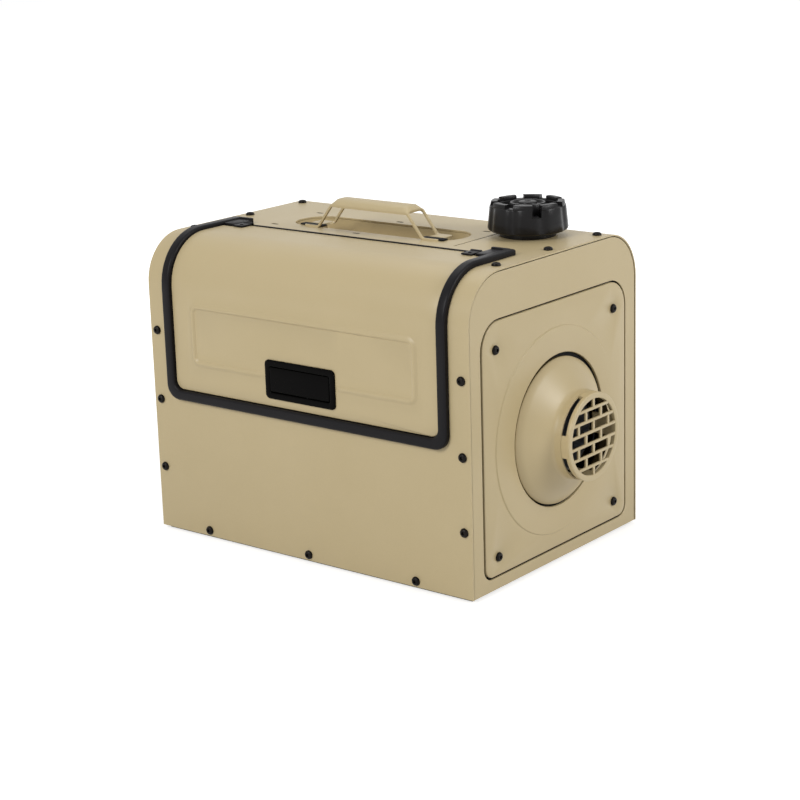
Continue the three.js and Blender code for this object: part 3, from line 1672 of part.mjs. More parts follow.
// Fuel pump on its clamp, and the lines from the tank and to the burner.
const pump = spinX([
  [pump_left - pump_fitting_length, 0],
  [pump_left - pump_fitting_length, pump_fitting_radius],
  [pump_left, pump_fitting_radius],
  [pump_left, pump_radius],
  [pump_right, pump_radius],
  [pump_right, pump_fitting_radius],
  [pump_right + pump_fitting_length, pump_fitting_radius],
  [pump_right + pump_fitting_length, 0],
], pump_y, pump_z, hinge_sides);
add("fuel_pump", pump, steel, 0.4, 0.7);
const clamp_reach = pump_radius + seat_gap + clamp_wall;
const clamp_left = pump_left + clamp_inset;
const clamp = cut(
  block(
    [clamp_left, clamp_left + clamp_length],
    [pump_y - clamp_reach, pump_y + clamp_reach],
    [up(sheet) + seat_gap, pump_z + clamp_reach],
  ),
  rodX(
    pump_radius + seat_gap,
    clamp_left - overrun,
    clamp_left + clamp_length + overrun,
    pump_y,
    pump_z,
    hinge_sides,
  ),
);
add("pump_clamp", clamp, rubber, 0.8);

const supply_route = [
  [supply_place, pump_y, spigot_low - seat_gap],
  [supply_place, pump_y, pump_z],
  [pump_right + pump_fitting_length + seat_gap, pump_y, pump_z],
];
const supply = tube(supply_route, line_bend, line_radius, 0, line_steps, line_sides);
add("fuel_supply_line", supply, rubber, 0.6);
const feed_route = [
  [pump_left - pump_fitting_length - seat_gap, pump_y, pump_z],
  [feed_place, pump_y, pump_z],
  [feed_place, pump_y, feed_z],
  [feed_place, inner_y - seat_gap, feed_z],
];
const feed_bend = pump_left - pump_fitting_length - seat_gap - feed_place;
const feed = tube(feed_route, feed_bend, line_radius, 0, line_steps + line_steps, line_sides);
add("fuel_feed_line", feed, rubber, 0.6);

// Left end: round intake grille and the power inlet.
const ring_face = -end_face - seat_gap;
const ring_front = ring_face - intake_ring_thickness;
const intake_slots = [];
const slot_pitch = intake_slot + intake_bar;
for (let z = -intake_rows * slot_pitch; z <= intake_rows * slot_pitch; z += slot_pitch) {
  intake_slots.push(block(
    [ring_front - overrun, ring_face + overrun],
    [-intake_hole_radius, intake_hole_radius],
    [duct_z + z - intake_slot / 2, duct_z + z + intake_slot / 2],
  ));
}
const intake_bore = rodX(
  intake_hole_radius - intake_bar,
  ring_front - overrun,
  ring_face + overrun,
  0,
  duct_z,
  inner_sides,
);
const intake_disc = rodX(intake_ring_radius, ring_front, ring_face, 0, duct_z, inner_sides);
add("intake_grille", cut(intake_disc, join(...intake_slots).intersect(intake_bore)), black, 0.5);

const inlet_front = -end_face - seat_gap - inlet_wall;
const inlet_body = join(
  block(
    [inlet_front, -end_face - seat_gap],
    [inlet_y[0] - inlet_flange, inlet_y[1] + inlet_flange],
    [inlet_z[0] - inlet_flange, inlet_z[1] + inlet_flange],
  ),
  block(
    [inlet_front + inlet_wall / 2, -end_face + inlet_depth],
    [inlet_y[0] + seat_gap, inlet_y[1] - seat_gap],
    [inlet_z[0] + seat_gap, inlet_z[1] - seat_gap],
  ),
);
const inlet_pocket = block(
  [inlet_front - overrun, -end_face + inlet_depth - inlet_wall],
  [inlet_y[0] + inlet_wall, inlet_y[1] - inlet_wall],
  [inlet_z[0] + inlet_wall, inlet_z[1] - inlet_wall],
);
const inlet_pins = [-1, 1].map((side) =>
  rodX(
    inlet_pin_radius,
    -end_face,
    -end_face + inlet_depth - inlet_wall / 2,
    inlet_middle + (side * inlet_width) / 4,
    up(inlet_foot),
    line_sides,
  ));
add("power_inlet", join(cut(inlet_body, inlet_pocket), ...inlet_pins), black, 0.5);

// Control board on four standoffs over the base tray.
const board_left = board_end_inset - half_length;
const board_front = board_front_inset - half_depth;
const board_right = board_left + board_length;
const board_rear = board_front + board_width;
const board_low = up(sheet) + seat_gap + board_standoff;
const board_top = board_low + board_thickness;
const board_parts = [block([board_left, board_right], [board_front, board_rear], [board_low, board_top])];
for (const x of [board_left + board_inset, board_right - board_inset]) {
  for (const y of [board_front + board_inset, board_rear - board_inset]) {
    const top = board_low + board_thickness / 2;
    board_parts.push(rodZ(board_standoff_radius, up(sheet) + seat_gap, top, x, y, line_sides));
  }
}
for (const [x0, x1, y0, y1] of board_part_shares) {
  board_parts.push(block(
    [board_left + x0 * board_length, board_left + x1 * board_length],
    [board_front + y0 * board_width, board_front + y1 * board_width],
    [board_top - board_thickness / 2, board_top + board_part_height],
  ));
}
add("control_board", join(...board_parts), board_green, 0.5);

export default group;
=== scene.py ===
# %% [markdown]
# # A portable diesel air heater in a bent sheet-metal case
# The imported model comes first, as a frame that nothing moves. Every size below is read from it,
# so each finished piece lands on the solid that it dresses. X runs to the hot-air outlet,
# -Y to the door and Z up. Lengths are metres, and `MM` turns a workshop size into them.

# %% Load the frame
import json
import math
import bmesh
import bpy
from mathutils import Matrix, Vector


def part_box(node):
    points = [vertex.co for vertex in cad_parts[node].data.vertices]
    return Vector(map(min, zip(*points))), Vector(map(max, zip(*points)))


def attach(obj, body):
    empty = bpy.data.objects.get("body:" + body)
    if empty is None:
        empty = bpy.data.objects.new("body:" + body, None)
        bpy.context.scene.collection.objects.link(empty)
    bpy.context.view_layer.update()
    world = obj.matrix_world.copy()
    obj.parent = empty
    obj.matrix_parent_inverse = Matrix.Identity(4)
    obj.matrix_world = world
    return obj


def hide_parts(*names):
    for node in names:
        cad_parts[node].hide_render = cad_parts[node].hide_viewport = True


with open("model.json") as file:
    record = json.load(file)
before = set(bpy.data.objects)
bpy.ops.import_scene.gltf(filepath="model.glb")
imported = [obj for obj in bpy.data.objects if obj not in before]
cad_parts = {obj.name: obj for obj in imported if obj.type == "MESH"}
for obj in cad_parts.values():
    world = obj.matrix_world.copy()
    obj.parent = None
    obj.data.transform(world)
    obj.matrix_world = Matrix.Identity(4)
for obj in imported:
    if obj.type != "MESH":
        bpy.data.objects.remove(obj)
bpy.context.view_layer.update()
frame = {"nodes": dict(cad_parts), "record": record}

MM = 0.001

# %% [markdown]
# ## Camera
# The photograph was taken from the front right, a little above the case, with a long lens.
# The camera is placed by its angles round a point inside the case, so that the same numbers
# say where the photographer stood. A small roll levels the case as the photograph has it.

# %% Camera
CAMERA_TARGET = Vector((1.42, 7.61, 132.23)) * MM
CAMERA_DISTANCE = 2082.2 * MM
CAMERA_TURN = math.radians(38.687)
CAMERA_RISE = math.radians(15.359)
CAMERA_ROLL = math.radians(-1.746)
SENSOR_WIDTH = 36
# The focal length as a share of the picture's width.
FOCAL_SHARE = 2042 / 800
FAR_SIDE = 20

camera_data = bpy.data.cameras.new("photo_camera")
camera_data.sensor_width = SENSOR_WIDTH
camera_data.lens = SENSOR_WIDTH * FOCAL_SHARE
camera_data.clip_end = FAR_SIDE
camera = bpy.data.objects.new("photo_camera", camera_data)
swung = Matrix.Rotation(CAMERA_TURN, 4, "Z") @ Matrix.Rotation(math.pi / 2 - CAMERA_RISE, 4, "X")
aimed = Matrix.Translation(CAMERA_TARGET) @ swung @ Matrix.Rotation(CAMERA_ROLL, 4, "Z")
camera.matrix_world = aimed @ Matrix.Translation((0, 0, CAMERA_DISTANCE))
bpy.context.scene.collection.objects.link(camera)
bpy.context.scene.camera = camera
print("camera at", [round(v, 3) for v in camera.matrix_world.translation])

# %% [markdown]
# ## Floor, sky and lamps
# The photograph is a cut-out on white. A floor that shines white only to the camera and to
# reflections gives that white and still takes a thin shadow under the case. The object itself
# is lit by a pale sky and three soft lamps, weak enough that the sand paint doesn't clip in
# the photograph's view.

# %% Floor and sky
FLOOR_REACH = 6
FLOOR_TONE = 0.7
# How brightly the floor glows, close to the case and far from it, and at what distances.
FLOOR_GLOW = (0.62, 1.02)
GLOW_REACH = (0.3, 1.1)
SKY_STRENGTH = 0.3
SKY_MIRRORED = 0.92


def add_node(tree, kind, inputs=(), **settings):
    """Adds a shader node, with its properties and its inputs' values."""
    made = tree.nodes.new(kind)
    for name, value in settings.items():
        setattr(made, name, value)
    for name, value in dict(inputs).items():
        made.inputs[name].default_value = value
    return made


def wire(tree, *links):
    """Links nodes: each link names a node, its output, the next node and its input."""
    for source, out, target, into in links:
        tree.links.new(source.outputs[out], target.inputs[into])


def clear_tree(owner):
    owner.use_nodes = True
    owner.node_tree.nodes.clear()
    return owner.node_tree


def as_mesh(bm, name):
    mesh = bpy.data.meshes.new(name)
    bm.to_mesh(mesh)
    bm.free()
    return mesh


def as_object(bm, name, *paints):
    """Turns a bmesh into an object of the scene with its materials."""
    made = bpy.data.objects.new(name, as_mesh(bm, name))
    for paint in paints:
        made.data.materials.append(paint)
    bpy.context.scene.collection.objects.link(made)
    return made


floor_paint = bpy.data.materials.new("studio_floor")
tree = clear_tree(floor_paint)
matt = add_node(tree, "ShaderNodeBsdfDiffuse", {"Color": (FLOOR_TONE,) * 3 + (1,)})
glow = add_node(tree, "ShaderNodeEmission")
where = add_node(tree, "ShaderNodeTexCoord")
away = add_node(tree, "ShaderNodeVectorMath", operation="LENGTH")
fade = add_node(tree, "ShaderNodeMapRange", dict(zip(
    ("From Min", "From Max", "To Min", "To Max"), GLOW_REACH + FLOOR_GLOW)))
lit = add_node(tree, "ShaderNodeAddShader")
choice = add_node(tree, "ShaderNodeMixShader")
out = add_node(tree, "ShaderNodeOutputMaterial")
# The glow counts for rays from the camera and for reflected and refracted ones.
path = add_node(tree, "ShaderNodeLightPath")
seen, ray = path, "Is Camera Ray"
for other in ("Is Glossy Ray", "Is Transmission Ray"):
    either = add_node(tree, "ShaderNodeMath", operation="MAXIMUM")
    wire(tree, (seen, ray, either, 0), (path, other, either, 1))
    seen, ray = either, 0
wire(tree, (where, "Object", away, 0), (away, "Value", fade, "Value"),
     (fade, "Result", glow, "Strength"), (matt, 0, lit, 0), (glow, 0, lit, 1),
     (seen, ray, choice, "Fac"), (matt, 0, choice, 1), (lit, 0, choice, 2),
     (choice, 0, out, "Surface"))

bm = bmesh.new()
bmesh.ops.create_grid(bm, x_segments=1, y_segments=1, size=FLOOR_REACH)
floor = as_object(bm, "studio_floor", floor_paint)

world = bpy.data.worlds.new("studio_sky")
tree = clear_tree(world)
pale = add_node(tree, "ShaderNodeBackground", {"Strength": SKY_STRENGTH})
mirrored = add_node(tree, "ShaderNodeBackground", {"Strength": SKY_MIRRORED})
white = add_node(tree, "ShaderNodeBackground", {"Strength": 1})
out = add_node(tree, "ShaderNodeOutputWorld")
path = add_node(tree, "ShaderNodeLightPath")
chosen = pale
for shade, ray in ((mirrored, "Is Glossy Ray"), (white, "Is Camera Ray")):
    choice = add_node(tree, "ShaderNodeMixShader")
    wire(tree, (path, ray, choice, "Fac"), (chosen, 0, choice, 1), (shade, 0, choice, 2))
    chosen = choice
wire(tree, (chosen, 0, out, "Surface"))
for shade in (pale, mirrored, white):
    shade.inputs["Color"].default_value = (1, 1, 1, 1)
bpy.context.scene.world = world
bpy.context.scene.view_settings.view_transform = "Standard"
print("floor", floor.dimensions.x, "m across")


# %% Lamps
def soft_lamp(name, place, size, power):
    """A square lamp that faces the middle of the case."""
    data = bpy.data.lights.new(name, "AREA")
    data.size = size
    data.energy = power
    lamp = bpy.data.objects.new(name, data)
    away = Vector(place) - CAMERA_TARGET
    aim = away.to_track_quat("Z", "Y").to_matrix().to_4x4()
    lamp.matrix_world = Matrix.Translation(place) @ aim
    bpy.context.scene.collection.objects.link(lamp)
    print(name, power, "W")


soft_lamp("key_lamp", (-0.15, -2.2, 1.5), 0.9, 33)
soft_lamp("end_lamp", (2.25, 0.55, 1.4), 0.9, 30)
soft_lamp("top_lamp", (-0.6, 0.7, 2.5), 1.4, 10)

# %% [markdown]
# ## Surface effects that several finishes share
# Three small shader groups are built once and placed in each material with its own values.
# `speckle` is the fine orange peel of powder coat or the grain of a moulding, `clouds` is the
# slow unevenness of any real surface, and `brushed` is the fine lines along drawn metal. All
# read object coordinates, so they stay in place when a piece moves.


# %% Shader groups
def shader_group(name, inputs, outputs):
    """A group with object coordinates and a pitch, which is one over its first input in metres."""
    group = bpy.data.node_groups.new(name, "ShaderNodeTree")
    for label, value in inputs:
        socket = group.interface.new_socket(label, in_out="INPUT", socket_type="NodeSocketFloat")
        socket.default_value = value
    for label in outputs:
        group.interface.new_socket(label, in_out="OUTPUT", socket_type="NodeSocketFloat")
    given, put = add_node(group, "NodeGroupInput"), add_node(group, "NodeGroupOutput")
    place = add_node(group, "ShaderNodeTexCoord")
    pitch = add_node(group, "ShaderNodeMath", {0: 1 / MM}, operation="DIVIDE")
    wire(group, (given, 0, pitch, 1))
    return group, given, put, place, pitch


speckle, given, put, place, pitch = shader_group(
    "speckle", [("Grain size", 0.6), ("Depth", 1)], ["Height", "Mask"])
fine = add_node(speckle, "ShaderNodeTexNoise", {"Detail": 2, "Roughness": 0.6})
cells = add_node(speckle, "ShaderNodeTexVoronoi", feature="SMOOTH_F1")
height = add_node(speckle, "ShaderNodeMath", {1: 0.5}, operation="MULTIPLY_ADD")
depth = add_node(speckle, "ShaderNodeMath", operation="MULTIPLY")
for texture in (fine, cells):
    wire(speckle, (place, "Object", texture, "Vector"), (pitch, 0, texture, "Scale"))
wire(speckle, (cells, "Distance", height, 0), (fine, "Fac", height, 2), (height, 0, depth, 0),
     (given, "Depth", depth, 1), (depth, 0, put, "Height"), (fine, "Fac", put, "Mask"))

clouds, given, put, place, pitch = shader_group("clouds", [("Patch size", 60)], ["Value"])
slow = add_node(clouds, "ShaderNodeTexNoise", {"Detail": 4, "Roughness": 0.55})
spread = add_node(clouds, "ShaderNodeMapRange", {"From Min": 0.3, "From Max": 0.7})
wire(clouds, (place, "Object", slow, "Vector"), (pitch, 0, slow, "Scale"),
     (slow, "Fac", spread, "Value"), (spread, "Result", put, "Value"))

brushed, given, put, place, pitch = shader_group(
    "brushed", [("Line size", 0.4), ("Stretch", 40)], ["Height", "Mask"])
squeeze = add_node(brushed, "ShaderNodeMath", {0: 1}, operation="DIVIDE")
along = add_node(brushed, "ShaderNodeCombineXYZ", {"Y": 1, "Z": 1})
scaled = add_node(brushed, "ShaderNodeVectorMath", operation="MULTIPLY")
lines = add_node(brushed, "ShaderNodeTexNoise", {"Detail": 3, "Roughness": 0.7})
wire(brushed, (given, "Stretch", squeeze, 1), (squeeze, 0, along, "X"),
     (place, "Object", scaled, 0), (along, 0, scaled, 1), (scaled, 0, lines, "Vector"),
     (pitch, 0, lines, "Scale"), (lines, "Fac", put, "Height"), (lines, "Fac", put, "Mask"))
print("groups:", [group.name for group in bpy.data.node_groups])

# %% [markdown]
# ## Finishes
# One function makes every finish: a base colour that drifts a little between two shades, a
# roughness that drifts with it, and a bump from the grain. What makes each finish itself is its
# numbers: powder coat is satin with an orange peel of about half a millimetre, the moulded
# plastic is finer and glossier, and the metals trade the grain for drawn lines.


# %% Make the finishes
def linear(red, green, blue):
    """Turns a colour as a screen shows it, 0 to 255, into a shader's linear colour."""
    steps = [value / 255 for value in (red, green, blue)]
    return tuple(s / 12.92 if s <= 0.04045 else ((s + 0.055) / 1.055) ** 2.4 for s in steps) + (1,)


SPECK_SHARE = 0.12
BUMP_HEIGHT = 0.2 * MM


def finish(name, light, dark, rough, grain, bump, metal=0.0, texture="speckle", patch=60, coat=0.0,
           shine=0.5):
    """A finish whose colour and roughness drift between two values, with a fine relief."""
    paint = bpy.data.materials.new(name)
    tree = clear_tree(paint)
    out = add_node(tree, "ShaderNodeOutputMaterial")
    shader = add_node(tree, "ShaderNodeBsdfPrincipled", {
        "Metallic": metal, "Coat Weight": coat, "Coat Roughness": rough[0] / 2,
        "Specular IOR Level": shine})
    drift = add_node(tree, "ShaderNodeGroup", node_tree=clouds)
    relief = add_node(tree, "ShaderNodeGroup", node_tree=bpy.data.node_groups[texture])
    drift.inputs["Patch size"].default_value = patch
    relief.inputs[0].default_value = grain
    tone = add_node(tree, "ShaderNodeMix", {6: linear(*light), 7: linear(*dark)}, data_type="RGBA")
    speck = add_node(tree, "ShaderNodeMix", {0: SPECK_SHARE}, data_type="RGBA",
                     blend_type="MULTIPLY")
    gloss = add_node(tree, "ShaderNodeMapRange", {"To Min": rough[0], "To Max": rough[1]})
    lift = add_node(tree, "ShaderNodeBump", {"Strength": bump, "Distance": BUMP_HEIGHT})
    wire(tree, (drift, "Value", tone, 0), (tone, 2, speck, 6), (relief, "Mask", speck, 7),
         (speck, 2, shader, "Base Color"), (drift, "Value", gloss, "Value"),
         (gloss, "Result", shader, "Roughness"), (relief, "Height", lift, "Height"),
         (lift, "Normal", shader, "Normal"), (shader, 0, out, "Surface"))
    paint.diffuse_color = linear(*light)
    return paint


# Each finish: its light and dark shade, its roughness, the size of its grain and its relief.
FINISHES = {name: finish(name, *numbers, **more) for name, numbers, more in (
    ("sand_powder_coat", ((196, 178, 137), (193, 175, 134), (0.36, 0.44), 0.55, 0.2),
     {"patch": 110}),
    ("black_powder_coat", ((24, 22, 24), (19, 18, 20), (0.32, 0.42), 0.5, 0.25), {"shine": 0.12}),
    ("black_plastic", ((24, 23, 24), (19, 18, 19), (0.26, 0.36), 0.35, 0.2), {"shine": 0.2}),
    ("screw_steel", ((24, 19, 15), (15, 12, 10), (0.28, 0.4), 0.3, 0.2, 0.2), {"shine": 0.15}),
    ("zinc_steel", ((186, 188, 190), (166, 168, 172), (0.28, 0.42), 0.35, 0.2, 0.95, "brushed"),
     {}),
    ("cast_aluminium", ((188, 190, 192), (170, 172, 175), (0.5, 0.62), 0.8, 0.6, 0.9), {}),
    ("rubber", ((20, 20, 20), (14, 14, 14), (0.7, 0.85), 0.4, 0.3), {"shine": 0.2}),
    ("tank_plastic", ((222, 219, 210), (212, 208, 198), (0.38, 0.5), 0.6, 0.2), {"patch": 90}),
    ("display_plastic", ((30, 44, 52), (24, 36, 44), (0.06, 0.12), 0.5, 0.02), {"coat": 0.5}),
    ("board", ((52, 112, 66), (44, 100, 58), (0.3, 0.4), 0.4, 0.15), {}),
    ("latch_black", ((8, 7, 6), (6, 5, 5), (0.24, 0.32), 0.35, 0.12), {"shine": 0.03}),
    # Painted shade: a dark brown for the outlet cone's inside and its tail behind the panel.
    ("duct_painted_shade", ((84, 71, 42), (70, 59, 34), (0.5, 0.6), 0.6, 0.3), {"shine": 0.2}),
    # Painted shade: a darker sand for the hollow of the handle recess.
    ("sand_painted_shade", ((170, 150, 108), (162, 142, 100), (0.4, 0.5), 0.55, 0.2),
     {"patch": 110, "shine": 0.3}))}
print("finishes:", ", ".join(FINISHES))
for piece in frame["record"]["subparts"]:
    for cad_slot in frame["nodes"][piece["node"]].material_slots:
        cad_slot.link = "OBJECT"
        cad_slot.material = FINISHES[piece["material_slot"]]

# %% [markdown]
# ## From a bmesh to a piece
# Every piece is made the same way: a bmesh is shaped in millimetres, then `keep_piece` scales it
# to metres, merges its doubles, points its faces outwards, turns it into an object at the
# origin and marks edges sharper than an angle, so that bends shade smooth and corners stay
# crisp. It also hangs the piece on the body that it rides on and hides the imported node that it
# stands for.

# %% Keep a piece
RECORD = frame["record"]
BODY_OF = {n: body for body, names in RECORD["behaviour"]["bodies"].items() for n in names}
SLOT_OF = {piece["node"]: piece["material_slot"] for piece in RECORD["subparts"]}
DOUBLE = 0.002 * MM


def keep_piece(bm, name, node, sharp=35, paint=None, second=None):
    """Makes a drawing the object that stands for a node, in the node's finish or its own."""
    bmesh.ops.scale(bm, verts=bm.verts[:], vec=(MM, MM, MM))
    bmesh.ops.remove_doubles(bm, verts=bm.verts, dist=DOUBLE)
    bmesh.ops.recalc_face_normals(bm, faces=bm.faces)
    paints = [FINISHES[key] for key in (paint or SLOT_OF[node], second) if key]
    piece = as_object(bm, name, *paints)
    piece.data.polygons.foreach_set("use_smooth", [True] * len(piece.data.polygons))
    piece.data.set_sharp_from_angle(angle=math.radians(sharp))
    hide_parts(node)
    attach(piece, BODY_OF[node])
    print(name, len(piece.data.polygons), "faces")


def span(name, axis):
    """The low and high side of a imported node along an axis, in millimetres."""
    low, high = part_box(name)
    return low[axis] / MM, high[axis] / MM


def middle_of(name, axis):
    return sum(span(name, axis)) / 2


def facing(side, x=0, y=0, z=0):
    """Turns a flat drawing (across, along, height) to face a side of the case, in place."""
    axes = {
        "front": ((1, 0, 0), (0, 0, 1), (0, -1, 0)),
        "rear": ((-1, 0, 0), (0, 0, 1), (0, 1, 0)),
        "right": ((0, 1, 0), (0, 0, 1), (1, 0, 0)),
        "left": ((0, -1, 0), (0, 0, 1), (-1, 0, 0)),
        "top": ((1, 0, 0), (0, 1, 0), (0, 0, 1)),
    }[side]
    return Matrix.Translation((x, y, z)) @ Matrix(axes).transposed().to_4x4()


# %% [markdown]
# ## Tools of the sheet-metal shop
# Most of the case is cut flat and then folded, so it is drawn flat here too, in millimetres.
# An outline is a rectangle with rounded corners or a circle. Outlines are filled into a sheet
# with holes, a rim is rolled over by insetting the sheet and lowering its edge, and a sheet
# gets its thickness by extrusion.


# %% Outlines and sheets
def outline(bm, across, along, low=0, high=0, steps=8):
    """A rectangle of edges, with a radius for its two low corners and one for its high ones."""
    before = set(bm.edges)
    corners = bmesh.ops.create_grid(bm, x_segments=1, y_segments=1, size=0.5)["verts"]
    bmesh.ops.delete(bm, geom=list(corners[0].link_faces), context="FACES_ONLY")
    for corner in corners:
        corner.co.x = across[corner.co.x > 0]
        corner.co.y = along[corner.co.y > 0]
    middle = sum(along) / 2
    ends = ([c for c in corners if c.co.y < middle], [c for c in corners if c.co.y > middle])
    for pair, radius in zip(ends, (low, high)):
        if radius:
            bmesh.ops.bevel(bm, geom=pair, affect="VERTICES", offset=radius, segments=steps,
                            profile=0.5, material=-1)
    return [edge for edge in bm.edges if edge not in before]


def ring(bm, radius, across=0, along=0, sides=64):
    """A circle of edges."""
    place = Matrix.Translation((across, along, 0))
    verts = bmesh.ops.create_circle(bm, segments=sides, radius=radius, matrix=place)["verts"]
    return list(dict.fromkeys(edge for v in verts for edge in v.link_edges))


def about(middle, half):
    """The two sides of something whose middle and half width are known."""
    return middle - half, middle + half


def grown(pair, extra):
    return pair[0] - extra, pair[1] + extra


def points(items):
    """The corners of some edges or faces, each once and in order."""
    return list(dict.fromkeys(v for item in items for v in item.verts))


def fill(bm, *loops):
    """A flat sheet between an outer loop and the loops inside it."""
    edges = [edge for loop in loops for edge in loop]
    result = bmesh.ops.triangle_fill(bm, use_beauty=True, edges=edges, normal=(0, 0, 1))
    return [item for item in result["geom"] if isinstance(item, bmesh.types.BMFace)]


def lift(bm, edges, height):
    bmesh.ops.translate(bm, verts=points(edges), vec=(0, 0, height))


def rolled(bm, faces, radius, steps=3):
    """Rounds the rim of a flat sheet that faces up: the middle rises as the sheet is inset."""
    turns = [math.pi / 2 * i / steps for i in range(steps + 1)]
    bmesh.ops.translate(bm, verts=points(faces), vec=(0, 0, -radius))
    for a, b in zip(turns, turns[1:]):
        inward = radius * (math.cos(a) - math.cos(b))
        rise = radius * (math.sin(b) - math.sin(a))
        bmesh.ops.inset_region(bm, faces=faces, thickness=inward, depth=rise,
                               use_boundary=True, use_even_offset=True)
    return faces


def corners_of(result):
    return [item for item in result["geom"] if isinstance(item, bmesh.types.BMVert)]


def thicken(bm, depth, floor=None):
    """Gives the whole drawing a second side below, shifted by the depth or flat on a floor."""
    below = bmesh.ops.extrude_face_region(bm, geom=bm.faces[:], use_keep_orig=True)
    for vert in corners_of(below):
        vert.co.z = vert.co.z - depth if floor is None else floor


def walled(bm, faces, low, high):
    """Stands walls on part of a flat drawing, from a low to a high side."""
    for vert in corners_of(bmesh.ops.extrude_face_region(bm, geom=faces)):
        vert.co.z = low
    for vert in points(face for face in faces if face.is_valid):
        vert.co.z = high


def second_paint(faces):
    for face in faces:
        face.material_index = 1


def cut_line(bm, place, normal):
    geom = bm.verts[:] + bm.edges[:] + bm.faces[:]
    bmesh.ops.bisect_plane(bm, geom=geom, dist=1e-5, plane_co=place, plane_no=normal)


def clear_window(bm, across, along):
    """Cuts a square window out of a flat sheet."""
    for u in across:
        cut_line(bm, (u, 0, 0), (1, 0, 0))
    for v in along:
        cut_line(bm, (0, v, 0), (0, 1, 0))
    inside = [f for f in bm.faces if across[0] < f.calc_center_median().x < across[1]
              and along[0] < f.calc_center_median().y < along[1]]
    bmesh.ops.delete(bm, geom=inside, context="FACES")


def place_in(bm, matrix, before=()):
    """Moves a drawing to its place, or only what was drawn after `before` was noted."""
    bmesh.ops.transform(bm, matrix=matrix, verts=[v for v in bm.verts if v not in before])


# %% [markdown]
# A fold path is a start, a heading and a list of runs: each run has a length and how far it
# turns. `crease` cuts a flat drawing across at every step of a bend and `fold` lays it along
# the path. The same two functions make the case, the door, the frame and the handle.


# %% Folding
def arc(radius, turn):
    """A run that bends: its length and its turn."""
    return radius * abs(math.radians(turn)), math.radians(turn)


def walk(path, along):
    """Where a fold path is after some length: its two coordinates and its heading."""
    (u, v), heading, runs = path
    for i, (length, turn) in enumerate(runs):
        step = along if i == len(runs) - 1 else min(along, length)
        if turn:
            ahead = heading + turn * step / length
            u += length / turn * (math.sin(ahead) - math.sin(heading))
            v -= length / turn * (math.cos(ahead) - math.cos(heading))
            heading = ahead
        else:
            u += step * math.cos(heading)
            v += step * math.sin(heading)
        along -= step
        if along <= 0:
            break
    return u, v, heading


def crease(bm, path, steps=14):
    """Cuts a flat drawing across wherever its path bends."""
    along = 0
    for length, turn in path[2]:
        for i in range(steps + 1 if turn else 0):
            cut_line(bm, (0, along + length * i / steps, 0), (0, 1, 0))
        along += length


def fold(bm, path):
    """Lays a flat drawing along its path, with height to the left of the heading."""
    for vert in bm.verts:
        u, v, heading = walk(path, vert.co.y)
        rise = vert.co.z
        vert.co = (vert.co.x, u - rise * math.sin(heading), v + rise * math.cos(heading))


# %% [markdown]
# ## The case
# Front, top and rear are one sheet of 1.5 mm steel bent twice to a radius of 48 mm. The flat
# sheet has the door opening with its round lower corners, the recess for the handle, the
# filler hole and the two pipe holes low on the rear. It could be built from boxes and
# cylinders, but folding one sheet keeps the openings round where they run over the bend.

# %% Wrap
SHEET = 1.5
SEAT = 0.3
BEND = 48
half_length = span("case_wrap", 0)[1]
half_depth = span("case_wrap", 1)[1]
case_foot, case_top = span("case_wrap", 2)
upright = case_top - case_foot - BEND
CASE_PATH = ((-half_depth, case_foot), math.pi / 2, [
    (upright, 0), arc(BEND, -90), (2 * (half_depth - BEND), 0), arc(BEND, -90), (upright, 0)])
bend_run = BEND * math.pi / 2
case_run = sum(run[0] for run in CASE_PATH[2])


def up_front(z):
    """How far along the flat case a height on the front is."""
    return z - case_foot


def over_top(y):
    """How far along the flat case a place on the top is."""
    return upright + bend_run + y + half_depth - BEND


frame_half = span("door_frame", 0)[1]
frame_foot = span("door_frame", 2)[0]
frame_tail = span("door_frame", 1)[1]
FRAME_COVER = 6.5
OPENING_LOW = 12
HINGE_LINE = -49.5
opening_half = frame_half - FRAME_COVER
tray_x, tray_y = span("handle_tray", 0), span("handle_tray", 1)
TRAY_FLANGE = 6
RECESS_CORNER = 26
recess_x = (tray_x[0] + TRAY_FLANGE, tray_x[1] - TRAY_FLANGE)
recess_y = (tray_y[0] + TRAY_FLANGE, tray_y[1] - TRAY_FLANGE)
filler_x, filler_y = middle_of("filler_neck", 0), middle_of("filler_neck", 1)
NECK_HOLE = 26.4
PIPE_PLAY = 1.2
# The pipes: where each is along the rear, and its outer radius.
EXHAUST = (100, 12)
INTAKE = (-84, 10)
PIPE_HEIGHT = 43.3
# Small slots beside the recess, as middle points on the top, and a seam between the recess and
# the cap. Fills in the black rubber finish sit just under them: painted shade, so they read dark.
TOP_SLOTS = [(-131, 48), (-24, 48), (84, 50), (-131, -23), (-24.5, -21.5)]
SLOT = (9, 4)
SLOT_CORNER = 1.5
SHADE_FILL_DEPTH = 0.3
SEAM = ((99.2, 100.9), (-26, 46), 0)

bm = bmesh.new()
sheet_edge = outline(bm, (-half_length, half_length), (0, case_run))
opening = outline(bm, (-opening_half, opening_half),
                  (up_front(frame_foot + FRAME_COVER), over_top(HINGE_LINE)), low=OPENING_LOW)
recess = outline(bm, recess_x, (over_top(recess_y[0]), over_top(recess_y[1])),
                 RECESS_CORNER, RECESS_CORNER, steps=12)
holes = [ring(bm, NECK_HOLE, filler_x, over_top(filler_y))]
marks = [(about(x, SLOT[0] / 2), about(y, SLOT[1] / 2), SLOT_CORNER) for x, y in TOP_SLOTS] + [SEAM]
for x, y, corner in marks:
    holes.append(outline(bm, x, [over_top(end) for end in y], corner, corner, steps=3))
for x, radius in (EXHAUST, INTAKE):
    holes.append(ring(bm, radius + PIPE_PLAY, x, case_run - PIPE_HEIGHT + case_foot, sides=32))
fill(bm, sheet_edge, opening, recess, *holes)
